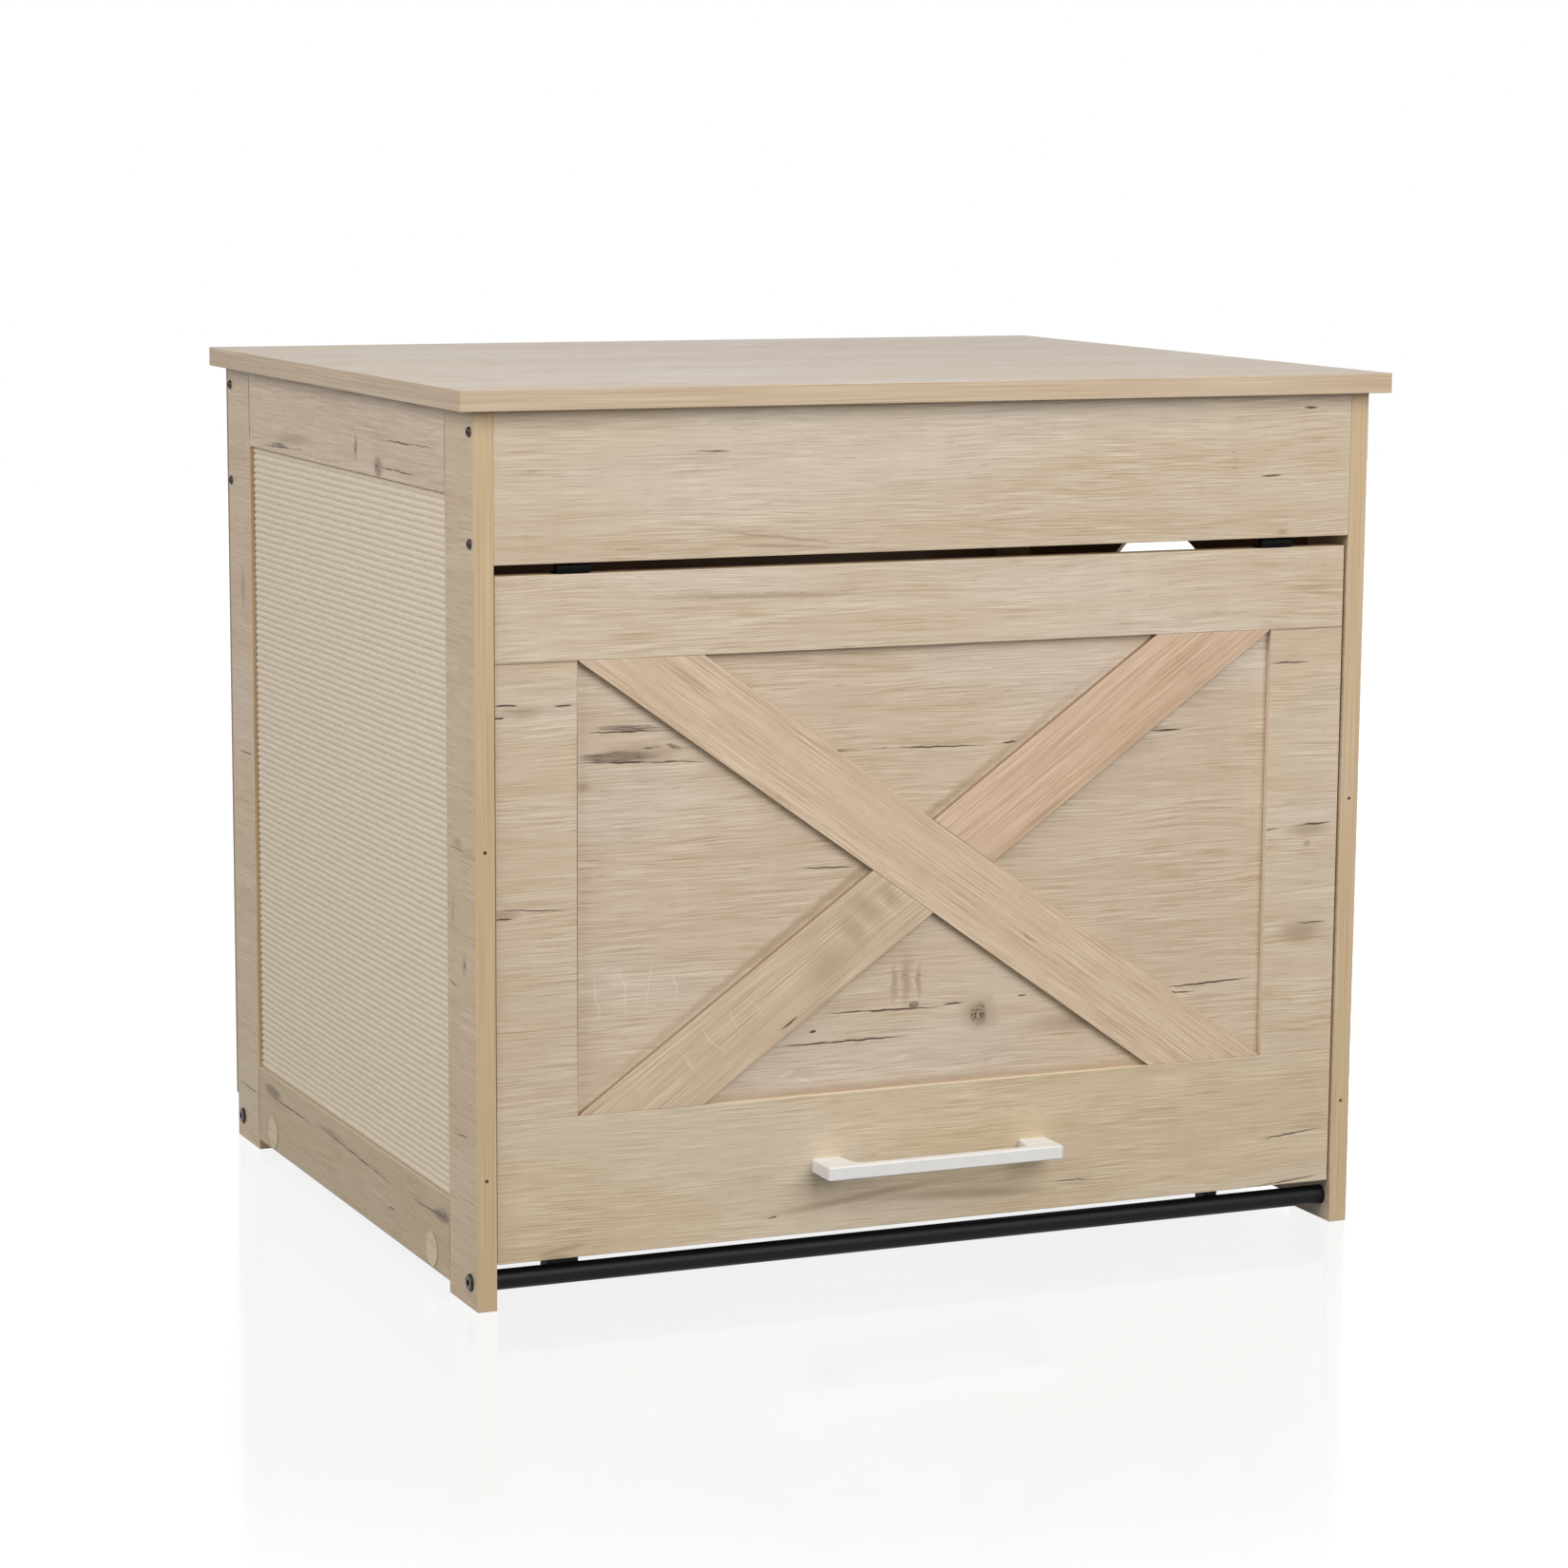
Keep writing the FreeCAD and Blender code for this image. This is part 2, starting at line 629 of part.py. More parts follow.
# Bow handle: flat feet, flared into a bar that stands off the door
outer = "handle_length / 2"
foot = f"{outer} - handle_foot"
flare = f"{foot} - handle_foot_flare"
handle_outline = [(f"-{outer}", "0"), (f"-{outer}", "-handle_projection"), (outer, "-handle_projection"),
                  (outer, "0"), (foot, "0"), (flare, "-handle_inner"), (f"-({flare})", "-handle_inner"),
                  (f"-({foot})", "0")]
handle, bow = prism("door_handle", "XY_Plane", handle_outline, "handle_height",
                    ("0", "door_face", "handle_z - handle_height / 2"))


def edges_at(feature, depth):
    # Upright edges of the handle at one distance from the door's face
    names = []
    for index, edge in enumerate(feature.Shape.Edges, start=1):
        box = edge.BoundBox
        if box.XLength < tiny and box.YLength < tiny and abs(box.YMin + depth) < tiny:
            names.append(f"Edge{index}")
    return names


def outline_edges(feature):
    # Level edges of the handle's top and bottom, apart from those against the door
    top = number("handle_height")
    names = []
    for index, edge in enumerate(feature.Shape.Edges, start=1):
        box = edge.BoundBox
        is_level = box.ZLength < tiny and min(abs(box.ZMin), abs(box.ZMin - top)) < tiny
        if is_level and box.YMin < -tiny:
            names.append(f"Edge{index}")
    return names


inner_round = round_edges(handle, bow, edges_at(bow, number("handle_inner")), "handle_inner_round")
doc.recompute()
outer_round = round_edges(handle, inner_round, edges_at(inner_round, number("handle_projection")),
                          "handle_outer_round")
doc.recompute()
round_edges(handle, outer_round, outline_edges(outer_round), "handle_edge_round")
handle_grip = "handle_screw_length - door_frame_thickness - door_panel_thickness + hole_play"
handle_sites = [(f"{sign}({outer} - handle_screw_inset)", "handle_z") for sign in ("-", "")]
for x, height in handle_sites:
    bore(handle, "-Y", "handle_screw_radius + fit_play", handle_grip, (x, "door_face", height))
    bore(door_bottom_rail, "-Y", "handle_screw_radius + fit_play", "door_frame_thickness",
         (x, "panel_face", height))
    bore(door_panel, "-Y", "handle_screw_radius + fit_play", "door_panel_thickness", (x, "door_back", height))
handle_screw = screw("handle_screw", "handle_screw_radius", "handle_screw_length", "handle_screw_head_radius",
                     "handle_screw_head_height")
scatter("handle_screws", handle_screw, [("+Y", x, "door_back", height) for x, height in handle_sites])

# Hinge leaves lie on the fascia's underside and on the door's top edge, and meet on one pin
pin_hole = "hinge_pin_radius + fit_play"
half_width = "hinge_width / 2"
notch_reach = "knuckle_radius + hinge_play"


def hinge_leaf(name, plate_z, leaf_end, knuckles, notches):
    body = new_body(name, ("0", "hinge_y", "hinge_z"), is_node=False)
    block(body, ("hinge_width", f"{leaf_end} - hinge_y", "hinge_leaf"),
          (f"-{half_width}", "hinge_y", plate_z))
    for low_x, width in notches:
        cut(body, (width, notch_reach, "hinge_leaf"), (low_x, "hinge_y", plate_z))
    for low_x, width in knuckles:
        rod(body, "+X", "knuckle_radius", width, (low_x, "hinge_y", "hinge_z"))
    bore(body, "+X", pin_hole, "hinge_width", (f"-{half_width}", "hinge_y", "hinge_z"))
    for sign in ("-", ""):
        bore(body, "+Z", "small_screw_radius + fit_play", "hinge_leaf",
             (f"{sign}hinge_hole_x", f"{leaf_end} - hinge_hole_margin", plate_z))
    return body


inside = "hinge_width / 2 - hinge_knuckle"
outer_knuckles = [(f"-{half_width}", "hinge_knuckle"), (inside, "hinge_knuckle")]
middle_knuckles = [("-middle_knuckle / 2", "middle_knuckle")]
outer_notches = [(f"-{half_width}", "hinge_knuckle + hinge_knuckle_gap"),
                 (f"{inside} - hinge_knuckle_gap", "hinge_knuckle + hinge_knuckle_gap")]
middle_notches = [(f"-({inside})", f"2 * ({inside})")]
fascia_leaf = hinge_leaf("fascia_leaf", "fascia_bottom - hinge_leaf", "fascia_leaf_end",
                         outer_knuckles, middle_notches)
door_leaf = hinge_leaf("door_leaf", "door_top", "door_leaf_end", middle_knuckles, outer_notches)
hinge_pin = new_body("hinge_pin", ("0", "0", "0"), is_node=False)
rod(hinge_pin, "+X", "hinge_pin_radius", "hinge_width", (f"-{half_width}", "0", "0"))
hinge_sites = [("+Z", f"{sign}hinge_x", "hinge_y", "hinge_z") for sign in ("-", "")]
for label, master in (("fascia_hinge_leaves", fascia_leaf), ("door_hinge_leaves", door_leaf),
                      ("hinge_pins", hinge_pin)):
    scatter(label, master, hinge_sites)

small_screw = screw("small_screw", "small_screw_radius", "small_screw_length", "small_screw_head_radius",
                    "small_screw_head_height")
small_hole = ("small_screw_radius + fit_play", "small_screw_length - hinge_leaf + hole_play")
hole_places = [f"{side}hinge_x + {sign}hinge_hole_x" for side in ("-", "") for sign in ("-", "")]
fascia_hole_y = "fascia_leaf_end - hinge_hole_margin"
door_hole_y = "door_leaf_end - hinge_hole_margin"
for x in hole_places:
    bore(front_fascia, "+Z", *small_hole, (x, fascia_hole_y, "fascia_bottom"))
    bore(door_panel, "-Z", *small_hole, (x, door_hole_y, "door_top"))
scatter("fascia_hinge_screws", small_screw,
        [("-Z", x, fascia_hole_y, "fascia_bottom - hinge_leaf") for x in hole_places])
scatter("door_hinge_screws", small_screw,
        [("+Z", x, door_hole_y, "door_top + hinge_leaf") for x in hole_places])

# Magnetic catch and padded stop: saddle blocks on the front tube, screwed to it from behind
block_screw = screw("block_screw", "block_screw_radius", "block_screw_length", "block_screw_head_radius",
                    "block_screw_head_height")


def saddle_block(label, x, width, face):
    low_x = f"{x} - {width} / 2"
    body = board_piece(label, (width, f"block_back - ({face})", "block_top - block_bottom"),
                       (low_x, face, "block_bottom"), rounded=False)
    bore(body, "+X", "tube_radius + fit_play", width, (low_x, "tube_front", "tube_height"))
    bore(body, "-Y", "block_screw_radius + fit_play", "block_wall + tube_radius",
         (x, "block_back", "tube_height"))
    bore(tubes["front"], "-Y", "block_screw_radius + fit_play", "tube_radius",
         (x, "tube_front + tube_radius", "tube_height"))
    return body


catch_body = saddle_block("catch_body", "catch_x", "catch_width", "catch_face")
cut(catch_body, ("magnet_width + 2 * fit_play", "magnet_depth", "magnet_height + 2 * fit_play"),
    ("catch_x - magnet_width / 2 - fit_play", "catch_face", "magnet_bottom - fit_play"))
board_piece("catch_magnet", ("magnet_width", "magnet_depth", "magnet_height"),
            ("catch_x - magnet_width / 2", "catch_face", "magnet_bottom"), rounded=False)
scatter("catch_screw", block_screw, [("+Y", "catch_x", "block_back", "tube_height")])

stop_at = ("stop_x", "stop_face", "block_top - stop_pad_radius - hole_play")
saddle_block("stop_body", "stop_x", "stop_width", "stop_face + stop_pad_thickness")
rod(new_body("stop_pad", stop_at), "+Y", "stop_pad_radius", "stop_pad_thickness", stop_at)
scatter("stop_screw", block_screw, [("+Y", "stop_x", "block_back", "tube_height")])

# Steel strike plate on the back of the door, facing the magnet
strike = board_piece("strike_plate", ("strike_width", "strike_thickness", "strike_height"),
                     ("catch_x - strike_width / 2", "door_back", "strike_bottom"), rounded=False)
strike_screw = screw("strike_screw", "small_screw_radius", "strike_screw_length", "small_screw_head_radius",
                     "small_screw_head_height")
strike_height = "strike_bottom + strike_height / 2"
strike_sites = [f"catch_x + {sign}(strike_width / 2 - strike_hole_inset)" for sign in ("-", "")]
for x in strike_sites:
    bore(strike, "-Y", "small_screw_radius + fit_play", "strike_thickness",
         (x, "door_back + strike_thickness", strike_height))
    bore(door_panel, "-Y", "small_screw_radius + fit_play",
         "strike_screw_length - strike_thickness + hole_play", (x, "door_back", strike_height))
scatter("strike_screws", strike_screw, [("+Y", x, "door_back + strike_thickness", strike_height)
                                        for x in strike_sites])

doc.recompute()

# Every object must have built, and every piece must be the sound solid or solids that it stands for
for item in doc.Objects:
    if {"Invalid", "Error"} & set(item.State):
        raise RuntimeError(f"{item.Label} did not build: {item.State}")
for item, count in nodes.items():
    if item.Shape.isNull() or not item.Shape.isValid() or len(item.Shape.Solids) != count:
        raise RuntimeError(f"{item.Label} is not sound: {len(item.Shape.Solids)} solids, {count} wanted")

os.makedirs("parts", exist_ok=True)
for item in nodes:
    item.Shape.exportStep(f"parts/{item.Label}.step")
print(f"{len(nodes)} pieces written")
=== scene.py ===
import math

import bpy
import numpy as np
from mathutils import Matrix, Vector


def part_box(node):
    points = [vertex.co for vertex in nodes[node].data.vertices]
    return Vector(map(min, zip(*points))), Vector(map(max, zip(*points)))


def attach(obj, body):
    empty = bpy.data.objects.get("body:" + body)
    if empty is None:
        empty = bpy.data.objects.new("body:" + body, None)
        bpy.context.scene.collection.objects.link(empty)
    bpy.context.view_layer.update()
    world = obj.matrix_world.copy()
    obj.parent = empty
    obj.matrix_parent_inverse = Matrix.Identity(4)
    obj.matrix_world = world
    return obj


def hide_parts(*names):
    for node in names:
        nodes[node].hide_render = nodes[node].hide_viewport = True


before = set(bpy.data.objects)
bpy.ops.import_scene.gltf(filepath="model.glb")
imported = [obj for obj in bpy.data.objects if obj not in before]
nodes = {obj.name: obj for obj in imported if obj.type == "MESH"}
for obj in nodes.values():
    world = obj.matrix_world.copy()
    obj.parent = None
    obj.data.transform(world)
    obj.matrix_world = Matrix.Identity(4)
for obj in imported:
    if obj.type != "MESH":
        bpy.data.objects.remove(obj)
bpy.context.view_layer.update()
print("frame loaded:", len(nodes), "nodes")


def linear(hexColour):
    # sRGB hex to linear red, green, blue and alpha
    parts = [int(hexColour[i:i + 2], 16) / 255 for i in (1, 3, 5)]
    return tuple(c / 12.92 if c <= 0.04045 else ((c + 0.055) / 1.055) ** 2.4 for c in parts) + (1.0,)


def put(tree, kind, links=(), **settings):
    # Adds one node: settings are its properties, links fill its inputs in order, or by name or number,
    # each from a socket, from a node's first output, or with a plain value
    node = tree.nodes.new("ShaderNode" + kind)
    for key, value in settings.items():
        setattr(node, key, value)
    pairs = links.items() if isinstance(links, dict) else enumerate(links)
    for key, value in pairs:
        socket = node.inputs[key]
        if isinstance(value, bpy.types.Node):
            value = value.outputs[0]
        if isinstance(value, bpy.types.NodeSocket):
            tree.links.new(value, socket)
        else:
            socket.default_value = value
    return node


def startMaterial(name):
    material = bpy.data.materials.new(name)
    material.use_nodes = True
    material.node_tree.nodes.clear()
    return material, material.node_tree


def endMaterial(tree, shader):
    put(tree, "OutputMaterial", {"Surface": shader})


def dress(material, *names):
    # Gives the material to the slots of CAD nodes
    for name in names:
        for slot in nodes[name].material_slots:
            slot.material = material


def perMetre(*sizesInMm):
    # How often a pattern of these sizes repeats in a metre
    return tuple(1000.0 / size for size in sizesInMm)


# Camera: the photograph's viewing angle, a long lens a little above the top

cameraView = {
    "place": (-1.44726, -3.35174, 0.89734),
    "yaw": -0.40909,
    "pitch": -0.16814,
    "roll": -0.00629,
    "focal": 4545.9,      # pixels of the 1650 pixel frame
    "frameWidth": 1650,
    "sensor": 36.0,
    "shiftUp": 0.05,
    "clipEnd": 60.0,
}


def setCamera(view):
    data = bpy.data.cameras.new("camera")
    data.sensor_width = view["sensor"]
    data.lens = view["focal"] / view["frameWidth"] * view["sensor"]
    data.shift_y = view["shiftUp"]
    data.clip_end = view["clipEnd"]
    camera = bpy.data.objects.new("camera", data)
    bpy.context.scene.collection.objects.link(camera)
    turn = Matrix.Rotation(view["yaw"], 4, "Z") @ Matrix.Rotation(view["pitch"], 4, "X")
    turn = turn @ Matrix.Rotation(view["roll"], 4, "Y") @ Matrix.Rotation(math.pi / 2, 4, "X")
    camera.matrix_world = Matrix.Translation(view["place"]) @ turn
    bpy.context.scene.camera = camera


setCamera(cameraView)
print("camera set")


# Oak laminate: printed paper under a clear resin, pressed with a plate that leaves short fine strokes
# along the grain. The eye sees a pale greyed oak with low contrast, a few cracks and knots, a soft
# sheen, and a straight lined, warmer tan strip glued on the board's edges.

oakLook = {
    "pale": "#DFCFB7",
    "dark": "#B39A7A",
    "grey": "#C9BAA8",
    "crack": "#463425",
    "ray": "#F4EADB",
    "bruise": "#5F4E40",
    "smudge": "#8A7053",
    "edgePale": "#D2BB98",
    "edgeDark": "#BCA07B",
    # Sizes in mm along, across and through the board
    "stroke": (46.0, 1.1, 30.0),     # the real strokes are finer, too fine to show
    "streak": (60.0, 3.0, 40.0),
    "calm": (70.0, 26.0, 60.0),      # where the strokes fade out
    "band": (260.0, 13.0, 60.0),
    "patch": (340.0, 90.0, 80.0),
    "fleck": (16.0, 60.0, 60.0),
    "pore": (15.0, 0.9, 20.0),
    "broken": (22.0, 30.0, 30.0),    # how a crack's line comes and goes
    "hair": (26.0, 1.7, 30.0),       # fine splits inside a gash
    "scribble": (3.2, 4.0, 30.0),    # loops inside a knot
    "edgeLine": (160.0, 160.0, 0.8),
    "wave": (170.0, 55.0, 90.0),
    "waveHeight": 12.0,              # mm by which the grain bends
    "ragged": (10.0, 14.0, 40.0),
    "raggedReach": (9.6, 2.4),       # mm by which a mark's rim frays, along and across
    "seedStep": 0.73,                # metres from one board's place in the pattern to the next one's
    # Gains: how far a layer moves the tone between dark and pale
    "strokeGain": 1.8,
    "calmShare": 0.35,               # of the strokes' gain, where they are calm
    "streakGain": 0.2,
    "bandGain": 0.45,
    "patchGain": 0.45,
    "fleckGain": 0.16,
    # Ramps: the layer's value or the mark's radius at which a look starts and is full, then its
    # strength at both, if that isn't 0 and 1
    "calmRamp": (0.36, 0.6),
    "greyRamp": (0.5, 0.68, 0.0, 0.7),
    "poreRamp": (0.64, 0.75, 0.0, 0.35),
    "smudgeRamp": (1.25, 0.2, 0.0, 0.95),
    "rayRamp": (1.3, 0.3, 0.0, 0.24),
    "knotRamp": (1.2, 0.4),
    "loopWidth": 0.055,
    "loopRamp": (0.0, 1.0, 0.25, 0.9),
    "gashRamp": (1.1, 0.6),
    "hairRamp": (0.07, 0.02, 0.5, 0.95),
    "crackRamp": (1.15, 0.6),
    "brokenRamp": (0.32, 0.48, 0.35, 1.0),
    "seamRamp": (1.1, 0.7, 0.0, 0.7),
    "bareRamp": (0.5, 0.6),          # by how far a face turns to the inside
    "edgeRamp": (0.75, 0.55),        # by how far a face turns away from the broad face
    "edgeTone": (0.3, 0.7),
    "roughRamp": (0.3, 0.7, 0.56, 0.44),
    "crackHeight": -1.2,             # where a stroke's height goes from 0 to 1
    "bumpStrength": 0.5,
    "bumpDepth": 0.0001,
    "ior": 1.5,
}
# Detail of the noise in each layer that follows the bent grain
grainDetail = {"stroke": 1, "streak": 1, "calm": 1, "band": 2, "patch": 2, "fleck": 2, "pore": 1,
               "broken": 1, "hair": 1}
alongX, alongY, upZ = (1, 0, 0), (0, 1, 0), (0, 0, 1)
# The two directions in which a face's marks are placed
faceAxes = {"front": (alongX, upZ), "side": (alongY, upZ), "top": (alongX, alongY)}


def nearestSpot(tree, ragged, spots, face, along, across):
    # The least of the spots' distances, each an ellipse's own radius that is 1 at its rim
    level, upright = (Vector(axis) for axis in faceAxes[face])
    least = None
    for far, high, halfLong, halfTall, tilt in spots:
        spot = level * (far / 1000) + upright * (high / 1000)
        flat = put(tree, "Mapping", {
            "Vector": ragged,
            "Location": (along.dot(spot), across.dot(spot), 0),
            "Rotation": (0, 0, math.radians(tilt)),
            "Scale": (halfLong / 1000, halfTall / 1000, 1000),
        }, vector_type="TEXTURE")
        radius = put(tree, "VectorMath", [flat], operation="LENGTH").outputs["Value"]
        if least is None:
            least = radius
        else:
            least = put(tree, "Math", [least, radius], operation="MINIMUM").outputs[0]
    return least


def oakBoard(name, face, along, across, seed, tint=(1, 1, 1), cracks=(), gashes=(), smudgesAndShade=(), knots=(),
             rays=(), seamsAndShadeLines=(), raw=None, **changes):
    look = dict(oakLook, **changes)
    material, tree = startMaterial(name)
    along = Vector(along).normalized()
    across = Vector(across).normalized()
    turn = Matrix((along, across, along.cross(across))).to_euler()

    def toned(key):
        colour = linear(look[key])
        return tuple(c * t for c, t in zip(colour, tint)) + (1.0,)

    coord = put(tree, "TexCoord")
    grain = put(tree, "Mapping", {"Vector": coord.outputs["Object"], "Rotation": turn,
                                  "Location": (0, 0, seed * look["seedStep"])})
    # Slow waves bend the grain, so that the strokes follow long arches
    slow = put(tree, "VectorMath", [grain, perMetre(*look["wave"])], operation="MULTIPLY")
    wave = put(tree, "TexNoise", {"Vector": slow, "Scale": 1, "Detail": 1.5})
    bend = (0, look["waveHeight"] / 1000, 0)
    bent = put(tree, "VectorMath", [wave.outputs["Color"], bend, grain], operation="MULTIPLY_ADD")
    layers = {}
    for key, detail in grainDetail.items():
        spread = put(tree, "VectorMath", [bent, perMetre(*look[key])], operation="MULTIPLY")
        layers[key] = put(tree, "TexNoise", {"Vector": spread, "Scale": 1, "Detail": detail,
                                             "Roughness": 0.5})
    # Strokes depart from their half by a gain that sinks in the calm places
    fullGain = look["strokeGain"]
    calmGain = look["calmShare"] * fullGain
    gain = put(tree, "MapRange", [layers["calm"], *look["calmRamp"], calmGain, fullGain])
    stroke = put(tree, "Math", [layers["stroke"], 0.5], operation="SUBTRACT")
    stroke = put(tree, "Math", [stroke, gain], operation="MULTIPLY")
    # Tone: half, the strokes, and each slow layer's departure from its own half times its gain
    slowKeys = ("streak", "band", "patch", "fleck")
    slowHalf = 0.5 * sum(look[key + "Gain"] for key in slowKeys)
    tone = put(tree, "Math", [stroke, 0.5 - slowHalf], operation="ADD")
    for key in slowKeys:
        tone = put(tree, "Math", [layers[key], look[key + "Gain"], tone], operation="MULTIPLY_ADD")
    wood = put(tree, "Mix", {0: tone, 6: toned("dark"), 7: toned("pale")}, data_type="RGBA")
    greyed = put(tree, "MapRange", [layers["patch"], *look["greyRamp"]], interpolation_type="SMOOTHSTEP")
    wood = put(tree, "Mix", {0: greyed, 6: wood.outputs[2], 7: toned("grey")}, data_type="RGBA",
               blend_type="COLOR")
    pores = put(tree, "MapRange", [layers["pore"], *look["poreRamp"]])
    wood = put(tree, "Mix", {0: pores, 6: wood.outputs[2], 7: toned("smudge")}, data_type="RGBA")
    # The marks stand where the board shows them, with ragged rims
    fine = put(tree, "VectorMath", [grain, perMetre(*look["ragged"])], operation="MULTIPLY")
    fray = put(tree, "TexNoise", {"Vector": fine, "Scale": 1, "Detail": 2})
    reach = tuple(size / 1000 for size in look["raggedReach"]) + (0,)
    ragged = put(tree, "VectorMath", [fray.outputs["Color"], reach, grain], operation="MULTIPLY_ADD")
    height = layers["stroke"].outputs[0]
    # Smudges are darker streaks of the print; on the door panel two of them are painted shade bands beside
    # the lower brace and the bottom rail
    if smudgesAndShade:
        rim = nearestSpot(tree, ragged, smudgesAndShade, face, along, across)
        soft = put(tree, "MapRange", [rim, *look["smudgeRamp"]], interpolation_type="SMOOTHSTEP")
        streak = put(tree, "Math", [soft, layers["stroke"]], operation="MULTIPLY")
        wood = put(tree, "Mix", {0: streak, 6: wood.outputs[2], 7: toned("smudge")}, data_type="RGBA")
    if rays:
        # Pale rays of the quarter-cut wood cross the grain
        rim = nearestSpot(tree, ragged, rays, face, along, across)
        light = put(tree, "MapRange", [rim, *look["rayRamp"]], interpolation_type="SMOOTHSTEP")
        wood = put(tree, "Mix", {0: light, 6: wood.outputs[2], 7: toned("ray")}, data_type="RGBA")
    if knots:
        # A knot is a scribble of dark loops
        rim = nearestSpot(tree, ragged, knots, face, along, across)
        inside = put(tree, "MapRange", [rim, *look["knotRamp"]], interpolation_type="SMOOTHSTEP")
        loops = put(tree, "VectorMath", [grain, perMetre(*look["scribble"])], operation="MULTIPLY")
        loops = put(tree, "TexNoise", {"Vector": loops, "Scale": 1, "Detail": 1})
        loops = put(tree, "Math", [loops, 0.5, look["loopWidth"]], operation="COMPARE")
        loops = put(tree, "MapRange", [loops, *look["loopRamp"]])
        scrawl = put(tree, "Math", [inside, loops], operation="MULTIPLY")
        wood = put(tree, "Mix", {0: scrawl, 6: wood.outputs[2], 7: toned("crack")}, data_type="RGBA")
    if gashes:
        # A gash is a grey brown island with fine dark splits along its length
        rim = nearestSpot(tree, ragged, gashes, face, along, across)
        island = put(tree, "MapRange", [rim, *look["gashRamp"]], interpolation_type="SMOOTHSTEP")
        hairs = put(tree, "Math", [layers["hair"], 0.5], operation="SUBTRACT")
        hairs = put(tree, "Math", [hairs], operation="ABSOLUTE")
        hairs = put(tree, "MapRange", [hairs, *look["hairRamp"]])
        hairs = put(tree, "Math", [hairs, island], operation="MULTIPLY")
        wood = put(tree, "Mix", {0: hairs, 6: wood.outputs[2], 7: toned("bruise")}, data_type="RGBA")
    if cracks:
        # A crack's line comes and goes, and lies a little deeper than the strokes
        rim = nearestSpot(tree, ragged, cracks, face, along, across)
        split = put(tree, "MapRange", [rim, *look["crackRamp"]], interpolation_type="SMOOTHSTEP")
        broken = put(tree, "MapRange", [layers["broken"], *look["brokenRamp"]])
        split = put(tree, "Math", [split, broken], operation="MULTIPLY")
        wood = put(tree, "Mix", {0: split, 6: wood.outputs[2], 7: toned("crack")}, data_type="RGBA")
        height = put(tree, "Math", [split, look["crackHeight"], height], operation="MULTIPLY_ADD")
    if seamsAndShadeLines:
        # Butted ends show a straight thin line; on the door's left stile one such line, along its inner
        # edge, is painted shade where the stile stands proud of the panel
        rim = nearestSpot(tree, grain, seamsAndShadeLines, face, along, across)
        joint = put(tree, "MapRange", [rim, *look["seamRamp"]])
        wood = put(tree, "Mix", {0: joint, 6: wood.outputs[2], 7: toned("crack")}, data_type="RGBA")
    # Edge strips: faces turned away from the board's broad face, lined along their length
    broad = tuple(along.cross(across))
    facing = put(tree, "VectorMath", [coord.outputs["Normal"], broad], operation="DOT_PRODUCT")
    if raw:
        # The face towards the inside has no laminate; its dark brown also serves as painted shade in the
        # gap above the door
        bare = put(tree, "MapRange", [facing.outputs["Value"], *look["bareRamp"]])
        wood = put(tree, "Mix", {0: bare, 6: wood.outputs[2], 7: linear(raw)}, data_type="RGBA")
    facing = put(tree, "Math", [facing.outputs["Value"]], operation="ABSOLUTE")
    onEdge = put(tree, "MapRange", [facing, *look["edgeRamp"]])
    lines = put(tree, "VectorMath", [grain, perMetre(*look["edgeLine"])], operation="MULTIPLY")
    lines = put(tree, "TexNoise", {"Vector": lines, "Scale": 1, "Detail": 2, "Roughness": 0.6})
    lines = put(tree, "MapRange", [lines, *look["edgeTone"]])
    strip = put(tree, "Mix", {0: lines, 6: toned("edgeDark"), 7: toned("edgePale")}, data_type="RGBA")
    wood = put(tree, "Mix", {0: onEdge, 6: wood.outputs[2], 7: strip.outputs[2]}, data_type="RGBA")
    matte = put(tree, "MapRange", [layers["stroke"], *look["roughRamp"]])
    relief = put(tree, "Bump", {"Height": height, "Strength": look["bumpStrength"],
                                "Distance": look["bumpDepth"]})
    shader = put(tree, "BsdfPrincipled", {"Base Color": wood.outputs[2], "Roughness": matte,
                                          "Normal": relief, "IOR": look["ior"]})
    endMaterial(tree, shader)
    return material


seamLook = {
    "inset": 0.4,        # mm from the board's rim
    "halfWidth": 1.6,
}


def buttSeams(stileName, railNames):
    # Thin upright lines on a side's stile, where the ends of its rails butt against it
    low, high = (np.array(corner) * 1000 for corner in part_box(stileName))
    lines = []
    for railName in railNames:
        railLow, railHigh = (np.array(corner) * 1000 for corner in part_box(railName))
        railBehind = railHigh[1] > high[1]
        place = high[1] - seamLook["inset"] if railBehind else low[1] + seamLook["inset"]
        middle = (railLow[2] + railHigh[2]) / 2
        halfTall = (railHigh[2] - railLow[2]) / 2
        lines.append((place, middle, seamLook["halfWidth"], halfTall, 0))
    return lines


leftRails = ("left_top_rail", "left_bottom_rail")
rightRails = ("right_top_rail", "right_bottom_rail")
doorStileHigh = np.array(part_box("door_left_stile")[1]) * 1000
doorSeamHeight = doorStileHigh[2] - seamLook["inset"]
# Bare board on the inside faces, dark brown: partly painted shade for the gap over the door
bareBoardAndGapShade = "#7E6147"
rise, run = 353.0, 496.0     # the cross's slope on the door

# How a board's face and grain lie
frontBoard = dict(face="front", along=alongX, across=upZ)
sideBoard = dict(face="side", along=alongY, across=upZ)
fallingBoard = dict(face="front", along=(run, 0, -rise), across=(rise, 0, run))
risingBoard = dict(face="front", along=(run, 0, rise), across=(-rise, 0, run))

